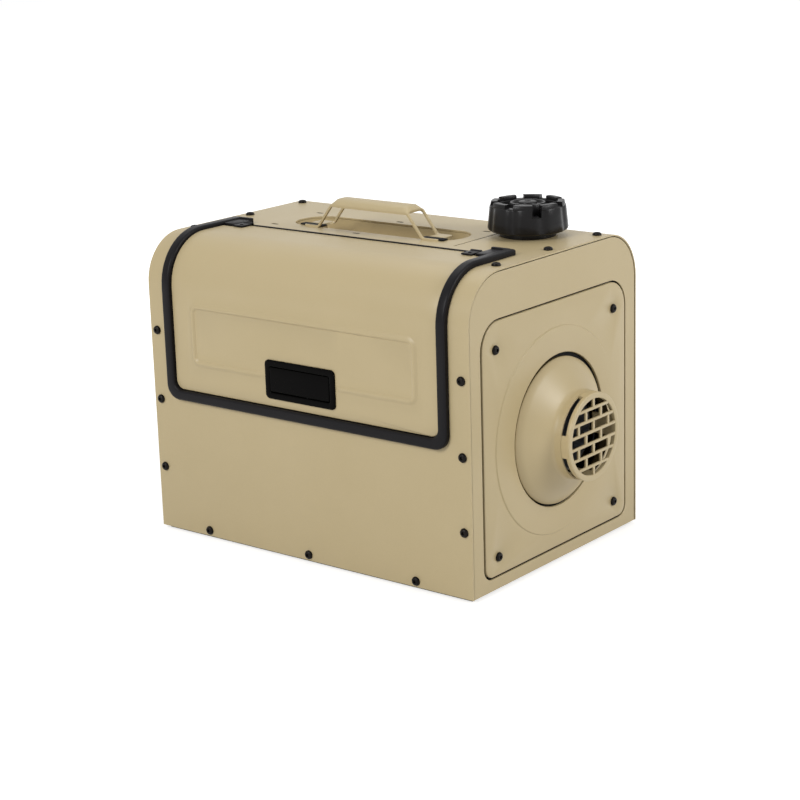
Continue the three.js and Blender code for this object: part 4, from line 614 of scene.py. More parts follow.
# Each slot and the seam gets a black fill sunk just under the sheet, as painted shade.
for x, y, corner in marks:
    shade_fill = outline(bm, x, [over_top(end) for end in y], corner, corner, steps=3)
    second_paint(fill(bm, shade_fill))
    lift(bm, shade_fill, -SHADE_FILL_DEPTH)
crease(bm, CASE_PATH)
thicken(bm, SHEET)
fold(bm, CASE_PATH)
keep_piece(bm, "wrap_sheet", "case_wrap", sharp=28, second="rubber")

# %% [markdown]
# The ends are flat pans pushed into the wrap, with a thin gap all round that shows as a dark
# line. The right one has a large window with a ledge behind it for the vent panel, the left
# one a round hole for the intake grille and a small one for the power inlet.

# %% End plates
PLATE_INSET = 2.5
PLATE_FLANGE = 14
plate_z = (case_foot, case_top - PLATE_INSET)
plate_half = half_depth - PLATE_INSET
plate_face = span("right_end_plate", 0)[1]
panel_y, panel_z = span("vent_panel", 1), span("vent_panel", 2)
PANEL_GAP = 1.9
# The window is wider at the panel's front side, as in the photograph.
FRONT_GAP = 3.1
PANEL_LOW = 11
PANEL_HIGH = 26
# The ledge is painted black in the rubber finish: painted shade, so the gap round the panel reads
# as a dark line.
LEDGE = 7
LEDGE_BORE = 70
LEDGE_DEPTH = 2.6
DUCT_Z = 133.3
INTAKE_HOLE = 52
inlet_y, inlet_z = sorted(-y for y in span("power_inlet", 1)), span("power_inlet", 2)
INLET_FLANGE = 4


def end_pan(bm, *windows):
    """A pan: its face with windows, and a flange that runs inside the wrap."""
    edge = outline(bm, (-plate_half, plate_half), plate_z, 0, BEND - PLATE_INSET, steps=16)
    fill(bm, edge, *windows)
    thicken(bm, SHEET)
    rim = outline(bm, (-plate_half, plate_half), plate_z, 0, BEND - PLATE_INSET, steps=16)
    flange = corners_of(bmesh.ops.extrude_edge_only(bm, edges=rim))
    bmesh.ops.translate(bm, verts=flange, vec=(0, 0, -PLATE_FLANGE))


bm = bmesh.new()
window = outline(bm, (panel_y[0] - FRONT_GAP, panel_y[1] + PANEL_GAP), grown(panel_z, PANEL_GAP),
                 PANEL_LOW + PANEL_GAP, PANEL_HIGH + PANEL_GAP)
end_pan(bm, window)
ledge = outline(bm, grown(panel_y, LEDGE), grown(panel_z, LEDGE),
                PANEL_LOW + LEDGE, PANEL_HIGH + LEDGE)
ledge_bore = ring(bm, LEDGE_BORE, 0, DUCT_Z)
# Black painted shade on the ledge, from the second finish.
second_paint(fill(bm, ledge, ledge_bore))
lift(bm, ledge + ledge_bore, -LEDGE_DEPTH)
place_in(bm, facing("right", x=plate_face))
keep_piece(bm, "right_pan", "right_end_plate", sharp=28, second="rubber")

bm = bmesh.new()
round_hole = ring(bm, INTAKE_HOLE, 0, DUCT_Z)
inlet_hole = outline(bm, grown(inlet_y, -INLET_FLANGE), grown(inlet_z, -INLET_FLANGE))
end_pan(bm, round_hole, inlet_hole)
place_in(bm, facing("left", x=-plate_face))
keep_piece(bm, "left_pan", "left_end_plate", sharp=28)

# %% [markdown]
# The vent panel has a round field pressed 1 mm proud about the outlet and a shallow dimple
# round each screw. Both are drawn as pairs of circles, with the slope filled between them.

# %% Vent panel
PANEL_SHEET = 1.5
DISC = 102
DISC_SLOPE = 1.1
DISC_RISE = 1
# The bore sits a little behind the cone, so the gap between them opens towards the rear.
PANEL_BORE = 75.2
BORE_SHIFT = 3
DIMPLE = 9
DIMPLE_DEPTH = 0.8
DISC_SIDES = 128
PANEL_ROLL = 1
panel_face = span("vent_panel", 0)[1] - DISC_RISE
SCREW_Y = 99
SCREW_Z = (34.3, 233.3)

bm = bmesh.new()
panel_edge = outline(bm, panel_y, panel_z, PANEL_LOW, PANEL_HIGH, steps=10)
disc_foot, disc_top = [ring(bm, radius, 0, DUCT_Z, DISC_SIDES)
                       for radius in (DISC, DISC - DISC_SLOPE)]
bore = ring(bm, PANEL_BORE, BORE_SHIFT, DUCT_Z)
dimples = []
for y in (-SCREW_Y, SCREW_Y):
    for z in SCREW_Z:
        dimples.append((ring(bm, DIMPLE, y, z, 32), ring(bm, DIMPLE - 2 * DIMPLE_DEPTH, y, z, 32)))
flat = fill(bm, panel_edge, disc_foot, *[outer for outer, inner in dimples])
slope = fill(bm, disc_foot, disc_top)
field = fill(bm, disc_top, bore)
sunk = [face for outer, inner in dimples for face in fill(bm, outer, inner) + fill(bm, inner)]
lift(bm, disc_top + bore, DISC_RISE)
lift(bm, [edge for outer, inner in dimples for edge in inner], -DIMPLE_DEPTH)
rolled(bm, flat + slope + field + sunk, PANEL_ROLL)
thicken(bm, PANEL_SHEET)
place_in(bm, facing("right", x=panel_face))
keep_piece(bm, "vent_panel_sheet", "vent_panel", sharp=30)

# %% [markdown]
# ## The outlet
# The cone is spun from one blank: a hollow flank that comes out through the panel, and a
# straight collar. Its inside and its tail behind the panel carry a dark brown painted shade. The
# grille is a ring with bars across it and short ties between the bars, laid like bricks. Four
# tabs behind the ring slide into the collar, and the gaps between them show as slots.


# %% Turned and block shapes
SOFT = 0.5
RIM_SOFT = 0.9


def turned(bm, profile, corner=0, sides=64, closed=False, turn=360):
    """Spins a profile of (height, radius) about the drawing's axis, with rounded corners."""
    before = set(bm.edges)
    verts = [bm.verts.new((radius, 0, height)) for height, radius in profile]
    pairs = list(zip(verts, verts[1:])) + ([(verts[-1], verts[0])] if closed else [])
    for pair in pairs:
        bm.edges.new(pair)
    if corner:
        ends = verts if closed else verts[1:-1]
        bmesh.ops.bevel(bm, geom=ends, affect="VERTICES", offset=corner, segments=3, profile=0.5,
                        material=-1, clamp_overlap=True)
    drawn = [edge for edge in bm.edges if edge not in before]
    geom = points(drawn) + drawn
    if turn < 360:
        geom += bmesh.ops.edgenet_fill(bm, edges=drawn)["faces"]
    bmesh.ops.spin(bm, geom=geom, cent=(0, 0, 0), axis=(0, 0, 1), dvec=(0, 0, 0),
                   angle=math.radians(turn), steps=sides, use_merge=turn == 360)


def rod(bm, low, high, radius, corner, sides):
    """A straight rod about the drawing's axis, from a low to a high end."""
    turned(bm, [(low, 0), (low, radius), (high, radius), (high, 0)], corner, sides)


def tube(bm, low, high, inner, outer, corner, sides=64):
    """A straight tube about the drawing's axis, from a low to a high end."""
    turned(bm, [(low, inner), (low, outer), (high, outer), (high, inner)], corner, sides,
           closed=True)


def slab(bm, across, along, height, edge=0):
    """A block between three pairs of sides, with soft edges of some width."""
    verts = bmesh.ops.create_cube(bm, size=1)["verts"]
    for vert in verts:
        vert.co = [pair[c > 0] for pair, c in zip((across, along, height), vert.co)]
    if edge:
        edges = list(dict.fromkeys(edge for v in verts for edge in v.link_edges))
        bmesh.ops.bevel(bm, geom=edges, affect="EDGES", offset=edge, segments=2, profile=0.5,
                        material=-1, clamp_overlap=True)


# %% Outlet cone
cone_back, collar_end = span("outlet_cone", 0)
cone_foot = (span("outlet_cone", 1)[1] - span("outlet_cone", 1)[0]) / 2
COLLAR = 43
CONE_WALL = 1.5
# The cone goes a little way in through the panel, with a dark gap round it. Below a line just
# inside the panel's face, and all over its inside, it carries the dark brown painted shade.
CONE_TAIL = -3.2
PAINT_LINE = -0.6
collar_end -= cone_back
# Flank of the cone from its foot to the collar, as heights and radii.
FLANK = [(1.2, 71.6), (6, 65.6), (12.5, 56.4), (17.5, 49.3), (20, 45.6), (22, 43.6), (24.5, 43)]
FLANK_DROP = 0.6

bm = bmesh.new()
inside = [(height - FLANK_DROP, radius - CONE_WALL) for height, radius in reversed(FLANK[1:])]
tail = [(CONE_TAIL, cone_foot - CONE_WALL), (CONE_TAIL, cone_foot), (PAINT_LINE, cone_foot)]
turned(bm, tail + FLANK + [(collar_end, COLLAR), (collar_end, COLLAR - CONE_WALL)] + inside,
       closed=True, sides=96)
bmesh.ops.recalc_face_normals(bm, faces=bm.faces)
# The cone's inside and its tail take the second finish, a dark brown painted shade.
for face in bm.faces:
    middle = face.calc_center_median()
    inner = face.normal.dot(middle * Vector((1, 1, 0))) < 0
    face.material_index = inner or middle.z < PAINT_LINE
place_in(bm, facing("right", x=cone_back, z=DUCT_Z))
keep_piece(bm, "cone_and_collar", "outlet_cone", sharp=40, second="duct_painted_shade")

# %% Outlet grille
grille_back, outlet_face = span("outlet_grille", 0)
RIM_DEPTH = 4.6
RIM_BORE = 37.2
BAR = 3
BAR_DEPTH = 2.3
TIE = 3.4
PITCH_Z = 11.3
PITCH_Y = 25.3
TABS = 4
TAB_TURN = 166.5
TAB_ANGLE = 30
TAB_INNER = 39.7
TAB_OUTER = 41.2
TAB_SEAT = -9.2
# The bars run into the rim a little way, and stand just under its face.
BAR_REACH = RIM_BORE + 0.6
BAR_Z = (-BAR_DEPTH, -0.2)
TIE_Z = (-BAR_DEPTH, -0.3)


def chord(height):
    return math.sqrt(max(BAR_REACH ** 2 - height ** 2, 0))


bm = bmesh.new()
depth = grille_back - outlet_face
for i in range(TABS):
    before = set(bm.verts)
    turned(bm, [(depth, TAB_INNER), (depth, TAB_OUTER), (TAB_SEAT, TAB_OUTER), (TAB_SEAT, COLLAR),
                (1 - RIM_DEPTH, COLLAR), (1 - RIM_DEPTH, TAB_INNER)],
           closed=True, sides=12, turn=TAB_ANGLE)
    place_in(bm, Matrix.Rotation(math.radians(TAB_TURN + 360 / TABS * i), 4, "Z"), before)
tube(bm, -RIM_DEPTH, 0, RIM_BORE, COLLAR, RIM_SOFT, sides=96)
for row in range(-3, 4):
    z = row * PITCH_Z
    if row < 3:
        side = z + PITCH_Z / 2
        slab(bm, about(0, chord(side)), about(side, BAR / 2), BAR_Z, 0.6)
    for column in range(-2, 3):
        y = (column + 0.5 * (row % 2 == 0)) * PITCH_Y
        reach = chord(abs(z) - PITCH_Z / 2) if row else chord(0)
        if abs(y) < reach - 1:
            low, high = about(z, PITCH_Z / 2)
            ends = (max(low, -chord(y)), min(high, chord(y)))
            slab(bm, about(y, TIE / 2), ends, TIE_Z, SOFT)
place_in(bm, facing("right", x=outlet_face, z=DUCT_Z))
keep_piece(bm, "brick_grille", "outlet_grille", sharp=40)

# %% [markdown]
# ## The door and its frame
# The frame is a moulded U that runs up both sides of the door, over the bend and a little onto
# the top, where two lugs carry the hinge and a thin black strip runs between them behind the door.
# Its section is a soft bead. It is drawn flat as a U and folded on the same path as the case,
# standing proud of it.

# %% Door frame
FRAME_BAR = 10.3
FRAME_PROUD = 6
FRAME_LOW = 15
FRAME_INNER_LOW = 9.85
BEAD = 2.2
WEB_DEPTH = 1.5
LUG_FRONT = -61
LUG_INNER = 151
LUG_OUTER = 172
LUG_TOP = 4.4
LUG_SOFT = 1.4
LUG_RIDGE = 3.5
DARK_STRIP_Y = (-50.7, -49)
DARK_STRIP_TOP = 3.1
frame_inner = frame_half - FRAME_BAR
frame_sill = frame_foot + FRAME_BAR


def u_band(bm, half, inner_half, foot, sill, tail, low, inner_low):
    """A U of flat sheet, open at the top, between an outer and an inner outline."""
    loops = [outline(bm, (-half, half), (foot, tail), low=low),
             outline(bm, (-inner_half, inner_half), (sill, tail), low=inner_low)]
    ends = []
    for loop in loops:
        across = [e for e in loop if min(v.co.y for v in e.verts) > tail - 0.01]
        ends.append(sorted(points(across), key=lambda v: v.co.x))
        bmesh.ops.delete(bm, geom=across, context="EDGES")
    joints = [bm.edges.new((ends[0][i], ends[1][i])) for i in (0, 1)]
    return fill(bm, [e for loop in loops for e in loop if e.is_valid], joints)


bm = bmesh.new()
band = u_band(bm, frame_half, frame_inner, up_front(frame_foot), up_front(frame_sill),
              over_top(frame_tail), FRAME_LOW, FRAME_INNER_LOW)
lift(bm, [e for face in band for e in face.edges], FRAME_PROUD)
rolled(bm, band, BEAD, steps=4)
thicken(bm, 0, floor=SEAT)
crease(bm, CASE_PATH)
web = bmesh.new()
u_band(web, opening_half - SEAT, frame_inner, up_front(frame_foot + FRAME_COVER + SEAT),
       up_front(frame_sill), over_top(HINGE_LINE - 1), FRAME_LOW - FRAME_COVER, FRAME_INNER_LOW)
thicken(web, WEB_DEPTH)
crease(web, CASE_PATH)
bm.from_mesh(as_mesh(web, "frame_web"))
for side in (-1, 1):
    lug = sorted((side * LUG_INNER, side * LUG_OUTER))
    slab(bm, lug, (over_top(LUG_FRONT), over_top(frame_tail)), (SEAT, LUG_TOP), LUG_SOFT)
    ridge = (over_top(frame_tail - LUG_RIDGE), over_top(frame_tail))
    slab(bm, lug, ridge, (SEAT, FRAME_PROUD), 1)
dark_strip_half = span("hinge_leaf_right", 0)[0] - 1
slab(bm, (-dark_strip_half, dark_strip_half), [over_top(y) for y in DARK_STRIP_Y], (SEAT, DARK_STRIP_TOP), SOFT)
fold(bm, CASE_PATH)
keep_piece(bm, "frame_bead", "door_frame")

# %% [markdown]
# The door is a curved sheet 2 mm proud of the case, with a bead almost 2 mm high pressed into
# it as a large rounded rectangle. The bead is drawn as outlines one inside the other, each
# lifted to its height, and ends beside the latch. Then windows are cut for the latch and the
# two lugs, and the rim is rolled.

# %% Door
door_half = span("door", 0)[1]
door_foot = span("door", 2)[0]
door_tail = span("door", 1)[1]
DOOR_LOW = 9.2
DOOR_ROLL = 0.8
DOOR_PROUD = 2
LIP_DEPTH = 6.5
FIELD_INSET = 23
FIELD_Z = (181.3, 247.3)
FIELD_CORNER = 11
# The pressed bead from its outer foot over its crest to its inner foot: how far in, how high.
FIELD_BEAD = [(0, 0), (1.2, 0.5), (3.2, 1.7), (4.2, 1.9), (5.2, 1.6), (6.3, 0.4), (6.9, 0)]
latch_x, latch_z = span("latch_housing", 0), span("latch_housing", 2)
LATCH_BORDER = 5
BEAD_STOP = 1.5
BEAD_FADE = 6
NOTCH_GAP = 2
NOTCH_PAST = 5


def pressed(bm, across, along, corner, steps, corner_steps, around=()):
    """A pressing: outlines one inside the other, each some way in and lifted to its height."""
    loops = [outline(bm, grown(across, -inward), grown(along, -inward), corner - inward,
                     corner - inward, steps=corner_steps) for inward, height in steps]
    nested = [*around, *loops]
    for outer, inner in zip(nested, nested[1:]):
        fill(bm, outer, inner)
    fill(bm, loops[-1])
    for loop, (inward, height) in zip(loops, steps):
        lift(bm, loop, height)


bm = bmesh.new()
field_half = door_half - FIELD_INSET
field_span = [up_front(z) for z in FIELD_Z]
door_edge = outline(bm, (-door_half, door_half), (up_front(door_foot), over_top(door_tail)),
                    low=DOOR_LOW)
pressed(bm, (-field_half, field_half), field_span, FIELD_CORNER, FIELD_BEAD, 8, [door_edge])
for reach in (BEAD_STOP, BEAD_STOP + BEAD_FADE):
    for u in grown(latch_x, reach):
        cut_line(bm, (u, 0, 0), (1, 0, 0))
flat_from, flat_to = grown(latch_x, BEAD_STOP + 1)
for vert in bm.verts:
    if flat_from < vert.co.x < flat_to and vert.co.y < up_front(latch_z[1]):
        vert.co.z = 0
bmesh.ops.translate(bm, verts=bm.verts[:], vec=(0, 0, DOOR_PROUD))
latch_hole = [up_front(z) for z in grown(latch_z, SEAT - LATCH_BORDER)]
clear_window(bm, grown(latch_x, SEAT - LATCH_BORDER), latch_hole)
for side in (-1, 1):
    notch = sorted((side * (LUG_INNER - 2 * SEAT), side * (door_half + NOTCH_PAST)))
    clear_window(bm, notch, (over_top(LUG_FRONT - NOTCH_GAP), over_top(door_tail) + NOTCH_PAST))
rolled(bm, bm.faces[:], DOOR_ROLL)
thicken(bm, SHEET)
crease(bm, CASE_PATH)
lip = bmesh.new()
band = u_band(lip, door_half, door_half - SHEET, up_front(door_foot), up_front(door_foot) + SHEET,
              over_top(LUG_FRONT - NOTCH_GAP), DOOR_LOW, DOOR_LOW - SHEET)
lift(lip, [e for face in band for e in face.edges], DOOR_PROUD - DOOR_ROLL)
thicken(lip, 0, floor=-LIP_DEPTH)
crease(lip, CASE_PATH)
bm.from_mesh(as_mesh(lip, "door_lip"))
fold(bm, CASE_PATH)
keep_piece(bm, "door_skin", "door", sharp=40)

# %% [markdown]
# Each hinge leaf is a narrow black plate riveted on the door, with a barrel rolled round the
# pin in the frame's lug.

# %% Hinge leaves
HINGE_Z = 310.2
BARREL = 2.2
BARREL_LENGTH = 12
PIN = 1.2
LEAF = 1.8
# The rivet's domed head, as heights and radii.
RIVET = [(0, 1.7), (0.5, 1.7), (0.8, 0.85), (0.8, 0)]
RIVET_BACK = 6
leaf_z = case_top + SEAT + DOOR_PROUD
leaf_y = span("hinge_leaf_right", 1)
for name, side in (("hinge_leaf_left", -1), ("hinge_leaf_right", 1)):
    near, far = sorted(abs(x) for x in span(name, 0))
    bm = bmesh.new()
    for radius, length in ((BARREL, BARREL_LENGTH), (PIN, far - near)):
        before = set(bm.verts)
        rod(bm, 0, length, radius, min(radius / 4, SOFT), sides=32)
        place_in(bm, facing("right", x=near, y=HINGE_LINE, z=HINGE_Z), before)
    slab(bm, (near, near + BARREL_LENGTH), (leaf_y[0], HINGE_LINE), (leaf_z, leaf_z + LEAF), SOFT)
    before = set(bm.verts)
    turned(bm, RIVET, sides=24)
    middle = near + BARREL_LENGTH / 2
    place_in(bm, facing("top", x=middle, y=leaf_y[0] + RIVET_BACK, z=leaf_z + LEAF), before)
    if side < 0:
        bmesh.ops.scale(bm, verts=bm.verts[:], vec=(-1, 1, 1))
    keep_piece(bm, name + "_plate", name)

# %% [markdown]
# The latch is a black moulding let into the door: a soft-edged bezel, a pocket behind it and a
# paddle that fills the bezel except for a thin gap round it and a finger gap along its foot.

# %% Latch housing and paddle
latch_front, latch_back = span("latch_housing", 1)
flange_back = -half_depth - DOOR_PROUD - SEAT
LATCH_CORNER = 5
LATCH_ROLL = 1.1
LATCH_WALL = 1.5
POCKET_CORNER = 1.5
FINGER_GAP = 1.3
PADDLE_GAP = 0.3
pocket_x = grown(latch_x, -LATCH_BORDER - LATCH_WALL)
pocket_z = grown(latch_z, -LATCH_BORDER - LATCH_WALL)
bm = bmesh.new()
bezel = fill(bm, outline(bm, latch_x, latch_z, LATCH_CORNER, LATCH_CORNER),
             outline(bm, pocket_x, pocket_z, POCKET_CORNER, POCKET_CORNER, steps=3))
rolled(bm, bezel, LATCH_ROLL)
thicken(bm, 0, floor=latch_front - flange_back)
body_x, body_z = grown(latch_x, -LATCH_BORDER), grown(latch_z, -LATCH_BORDER)
body = fill(bm, outline(bm, body_x, body_z, 1, 1, steps=2),
            outline(bm, pocket_x, pocket_z, POCKET_CORNER, POCKET_CORNER, steps=3))
body_low = latch_front - latch_back
walled(bm, body, body_low, -LATCH_WALL)
slab(bm, grown(pocket_x, 0.5), grown(pocket_z, 0.5), (body_low, body_low + LATCH_WALL))
place_in(bm, facing("front", y=latch_front))
keep_piece(bm, "latch_bezel", "latch_housing", paint="latch_black")

paddle_x = grown(pocket_x, -PADDLE_GAP)
paddle_z = (pocket_z[0] + FINGER_GAP, span("latch_paddle", 2)[1])
PADDLE = 3
PADDLE_CORNER = 1.2
PADDLE_ROLL = 0.3
PADDLE_AXIS = (-143, 192.2)
bm = bmesh.new()
paddle_edge = outline(bm, paddle_x, paddle_z, PADDLE_CORNER, PADDLE_CORNER, steps=3)
rolled(bm, fill(bm, paddle_edge), PADDLE_ROLL)
thicken(bm, 0, floor=-PADDLE)
place_in(bm, facing("front", y=latch_front))
before = set(bm.verts)
pin_half = pocket_x[1] + LATCH_WALL / 2
rod(bm, -pin_half, pin_half, PIN, 0.2, sides=24)
place_in(bm, facing("right", y=PADDLE_AXIS[0], z=PADDLE_AXIS[1]), before)
keep_piece(bm, "latch_paddle_plate", "latch_paddle", paint="latch_black")

# %% [markdown]
# ## The handle and its recess
# The recess is one pressing: a flange under the case top, a sloping wall and a flat floor with
# two small seats for the handle's feet. It is drawn as outlines one inside the other, each
# pushed down to its depth.

# %% Recess tray
tray_floor = case_top - 14
tray_top = case_top - SHEET - SEAT
# The wall of the recess from its mouth to its floor: how far in, and how far down.
RECESS_WALL = [(0.9, 0.5), (2, 1.7), (9.6, 10.6), (10.9, 11.9), (12.6, 12.2)]
FOOT_PAD = 6
handle_y = span("handle", 1)
handle_mid = (middle_of("handle", 0), middle_of("handle", 1))
FOOT_SPREAD = 67
FOOT_LENGTH = 18
FOOT_RISE = 2.1
STRAP = 1.8

bm = bmesh.new()
steps = [(inward, tray_top - drop) for inward, drop in [(-TRAY_FLANGE, 0), (0, 0)] + RECESS_WALL]
pressed(bm, recess_x, recess_y, RECESS_CORNER, steps, 14)
thicken(bm, SHEET)
pad_top = case_top + FOOT_RISE - STRAP - SEAT
for side in (-1, 1):
    pad_mid = handle_mid[0] + side * (FOOT_SPREAD + FOOT_LENGTH / 2)
    slab(bm, about(pad_mid, FOOT_PAD), about(handle_mid[1], FOOT_PAD),
         (tray_floor - 1, pad_top), 0.4)
# The pressing takes the darker sand, painted shade for the hollow of the recess.
keep_piece(bm, "recess_pressing", "handle_tray", paint="sand_painted_shade")

# %% [markdown]
# The handle is one bent strap. Each leg has a long window, so it reads as two thin legs, and
# the grip is crowned to fit the hand. The windows are in the flat drawing, the crown is a lift
# of the grip's lengthwise lines, and folding gives the legs and feet. A slot in each foot holds
# a black strip in the rubber finish: painted shade for the recess's dark hollow under the foot.

# %% Handle
LEG = 2.4
CROWN = 6
GRIP_HALF = 49
HANDLE_BEND = 3.5
FOOT_SLOT = 9
GRIP_Z = case_top + 25
STRAP_ROLL = 0.6
STRAP_CORNER = 3
# How far the slots in the feet reach beyond the strap's end and past the window's.
SLOT_OUT = 1
SLOT_IN = 2
# Where the strap is cut along and across, so that its crown comes out smooth: shares of its
# half width and of the grip's length, which rises over the last share.
CROWN_LINES = (0.94, 0.85, 0.72, 0.55, 0.3)
GRIP_LINES = (0.02, 0.06, 0.94, 0.98)
GRIP_RISE = 0.06
FOOT_SHADE_STRIPS = [(-104, -75), (51, 78)]
SHADE_STRIP_Z = (case_top + SEAT, case_top + FOOT_RISE - 0.2)
leg_rise = GRIP_Z - case_top - FOOT_RISE
lean = math.atan2(leg_rise, FOOT_SPREAD - GRIP_HALF)
leg_run = math.hypot(leg_rise, FOOT_SPREAD - GRIP_HALF)
corner_run = HANDLE_BEND * math.tan(lean / 2)
turn = math.degrees(lean)
foot_run, side_run = FOOT_LENGTH - corner_run, leg_run - 2 * corner_run
grip_run = 2 * (GRIP_HALF - corner_run)
STRAP_PATH = ((-FOOT_SPREAD - FOOT_LENGTH, case_top + FOOT_RISE), 0, [
    (foot_run, 0), arc(HANDLE_BEND, turn), (side_run, 0), arc(HANDLE_BEND, -turn), (grip_run, 0),
    arc(HANDLE_BEND, -turn), (side_run, 0), arc(HANDLE_BEND, turn), (foot_run, 0)])
strap_run = sum(run[0] for run in STRAP_PATH[2])
bend_length = HANDLE_BEND * lean
strap_half = (handle_y[1] - handle_y[0]) / 2
window_from = foot_run + bend_length / 3
window_to = foot_run + bend_length + side_run + bend_length / 2
grip_from = foot_run + 2 * bend_length + side_run

bm = bmesh.new()
strap_edge = outline(bm, (-strap_half, strap_half), (0, strap_run), STRAP_CORNER, STRAP_CORNER, 4)
windows = [outline(bm, (LEG - strap_half, strap_half - LEG), pair, STRAP_CORNER, STRAP_CORNER, 4)
           for pair in ((window_from, window_to), (strap_run - window_to, strap_run - window_from))]
fill(bm, strap_edge, *windows)
slot_x = (strap_half - LEG - FOOT_SLOT, strap_half - LEG)
for slot_y in ((-SLOT_OUT, window_from + SLOT_IN),
               (strap_run - window_from - SLOT_IN, strap_run + SLOT_OUT)):
    clear_window(bm, slot_x, slot_y)
rolled(bm, bm.faces[:], STRAP_ROLL, steps=2)
for share in CROWN_LINES:
    for side in (-1, 1):
        cut_line(bm, (strap_half * share * side, 0, 0), (1, 0, 0))
crease(bm, STRAP_PATH, steps=6)
for share in GRIP_LINES:
    cut_line(bm, (0, grip_from + grip_run * share, 0), (0, 1, 0))
thicken(bm, STRAP)
for vert in bm.verts:
    inward = min(vert.co.y - grip_from, grip_from + grip_run - vert.co.y) / (GRIP_RISE * grip_run)
    ramp = min(max(inward + 0.5, 0), 1)
    vert.co.z += CROWN * ramp * (1 - min(abs(vert.co.x) / strap_half, 1) ** 3)
fold(bm, STRAP_PATH)
place_in(bm, Matrix.Translation((*handle_mid, 0)) @ Matrix.Rotation(-math.pi / 2, 4, "Z"))
# The strips in the feet's slots are black painted shade, in the second finish.
shade_from = len(bm.faces)
for x in FOOT_SHADE_STRIPS:
    slab(bm, x, (handle_y[0] + LEG + SEAT, handle_y[0] + LEG + FOOT_SLOT - SEAT), SHADE_STRIP_Z, SOFT)
bm.faces.ensure_lookup_table()
second_paint(bm.faces[shade_from:])
keep_piece(bm, "handle_strap", "handle", second="rubber")

# %% [markdown]
# ## Filler neck and fuel cap
# The neck is turned. The cap's skirt is a circle with eight shallow finger hollows, drawn at
# each height and bridged. Its top has a raised broken rim round a deep ring and a low boss, and
# a square notch is cut through the skirt at the front.

# %% Filler neck and gasket
NECK_BORE = 22
NECK_OUTER = 26
neck_foot, neck_top = span("filler_neck", 2)
FLANGE_OUTER = 28
FLANGE_HEIGHT = 5
flange_z = (case_top + SEAT, case_top + SEAT + FLANGE_HEIGHT)
gasket_z = span("cap_gasket", 2)

bm = bmesh.new()
turned(bm, [(neck_foot, NECK_BORE), (neck_foot, NECK_OUTER), (flange_z[0], NECK_OUTER),
            (flange_z[0], FLANGE_OUTER), (flange_z[1], FLANGE_OUTER), (flange_z[1], NECK_OUTER),
            (neck_top, NECK_OUTER), (neck_top, NECK_BORE)], SOFT, closed=True)
place_in(bm, facing("top", x=filler_x, y=filler_y))
keep_piece(bm, "neck_tube", "filler_neck", sharp=40)

bm = bmesh.new()
tube(bm, *gasket_z, NECK_BORE, NECK_OUTER, 0.4)
place_in(bm, facing("top", x=filler_x, y=filler_y))
keep_piece(bm, "gasket_ring", "cap_gasket", sharp=40)

# %% Fuel cap
cap_foot, cap_top = span("fuel_cap", 2)
CAP_LOBES = 8
CAP_SIDES = 192
LOBE_TURN = math.radians(12)
# The skirt from its foot to its top edge: height over the foot, radius and depth of the creases.
SKIRT = [(0, 36.5, 0), (1.2, 38.6, 0.8), (3, 39.5, 1.8), (10, 38.8, 1.8), (17, 38.1, 1.8),
         (23.6, 37.4, 1.8), (24.6, 37, 1.6), (25.1, 36.2, 1.2)]
NOTCH_ROW = 4
NOTCH_TURN = math.radians(-40.6)
NOTCH_HALF = math.radians(7.6)
NOTCH_BACK = 28
NOTCH_FRONT = 36
# The top from its rim to the middle: radius, and height over or under the skirt's top edge.
CROWN_STEPS = [(35.4, 0.3), (29.5, 0.3), (28.6, -0.6), (27.6, -9), (18.2, -9), (17.6, 0.8),
               (17, 2.2), (15.4, 2.2), (14.8, 1.4), (14.2, 0), (9.2, 0), (8.6, 2.4), (7.8, 2.9),
               (3.2, 2.9), (2.6, 1.8)]
RIM_BLOCKS = 8
BLOCK_SHARE = 0.68
BLOCK_INNER = 29
BLOCK_OUTER = 36.8


def lobed_ring(bm, height, radius, depth):
    loop = ring(bm, radius, sides=CAP_SIDES)
    for vert in points(loop):
        turn = math.atan2(vert.co.y, vert.co.x) - LOBE_TURN
        hollow = depth * abs(math.cos(CAP_LOBES * turn / 2)) ** CAP_LOBES
        vert.co *= 1 - hollow / radius
        vert.co.z = height
    return loop


def bridged(bm, loops):
    """Walls from each loop to the next, and the faces of each wall."""
    return [bmesh.ops.bridge_loops(bm, edges=a + b)["faces"] for a, b in zip(loops, loops[1:])]


def in_notch(face):
    middle = face.calc_center_median()
    return abs(math.atan2(middle.y, middle.x) - NOTCH_TURN) < NOTCH_HALF


bm = bmesh.new()
bore_z = gasket_z[1] + SEAT
crown_z = cap_foot + SKIRT[-1][0]
bore = [ring(bm, NECK_HOLE, sides=CAP_SIDES), ring(bm, NECK_HOLE, sides=CAP_SIDES)]
lift(bm, bore[0], cap_foot)
lift(bm, bore[1], bore_z)
skirt = [lobed_ring(bm, cap_foot + height, radius, depth) for height, radius, depth in SKIRT]
crown = [ring(bm, radius, sides=CAP_SIDES) for radius, rise in CROWN_STEPS]
for loop, (radius, rise) in zip(crown, CROWN_STEPS):
    lift(bm, loop, crown_z + rise)
walls = bridged(bm, [bore[1], bore[0]] + skirt + crown)
fill(bm, bore[1])
fill(bm, crown[-1])
opened = [face for wall in walls[2 + NOTCH_ROW:len(SKIRT) + 5] for face in wall if in_notch(face)]
bmesh.ops.delete(bm, geom=opened, context="FACES")
before = set(bm.verts)
notch_low, notch_high = cap_foot + SKIRT[NOTCH_ROW][0], crown_z + CROWN_STEPS[0][1]
notch_side = NOTCH_FRONT * math.sin(NOTCH_HALF)
slab(bm, (NOTCH_BACK, NOTCH_FRONT + 0.6), about(0, notch_side + 1), (notch_low - 1, notch_low))
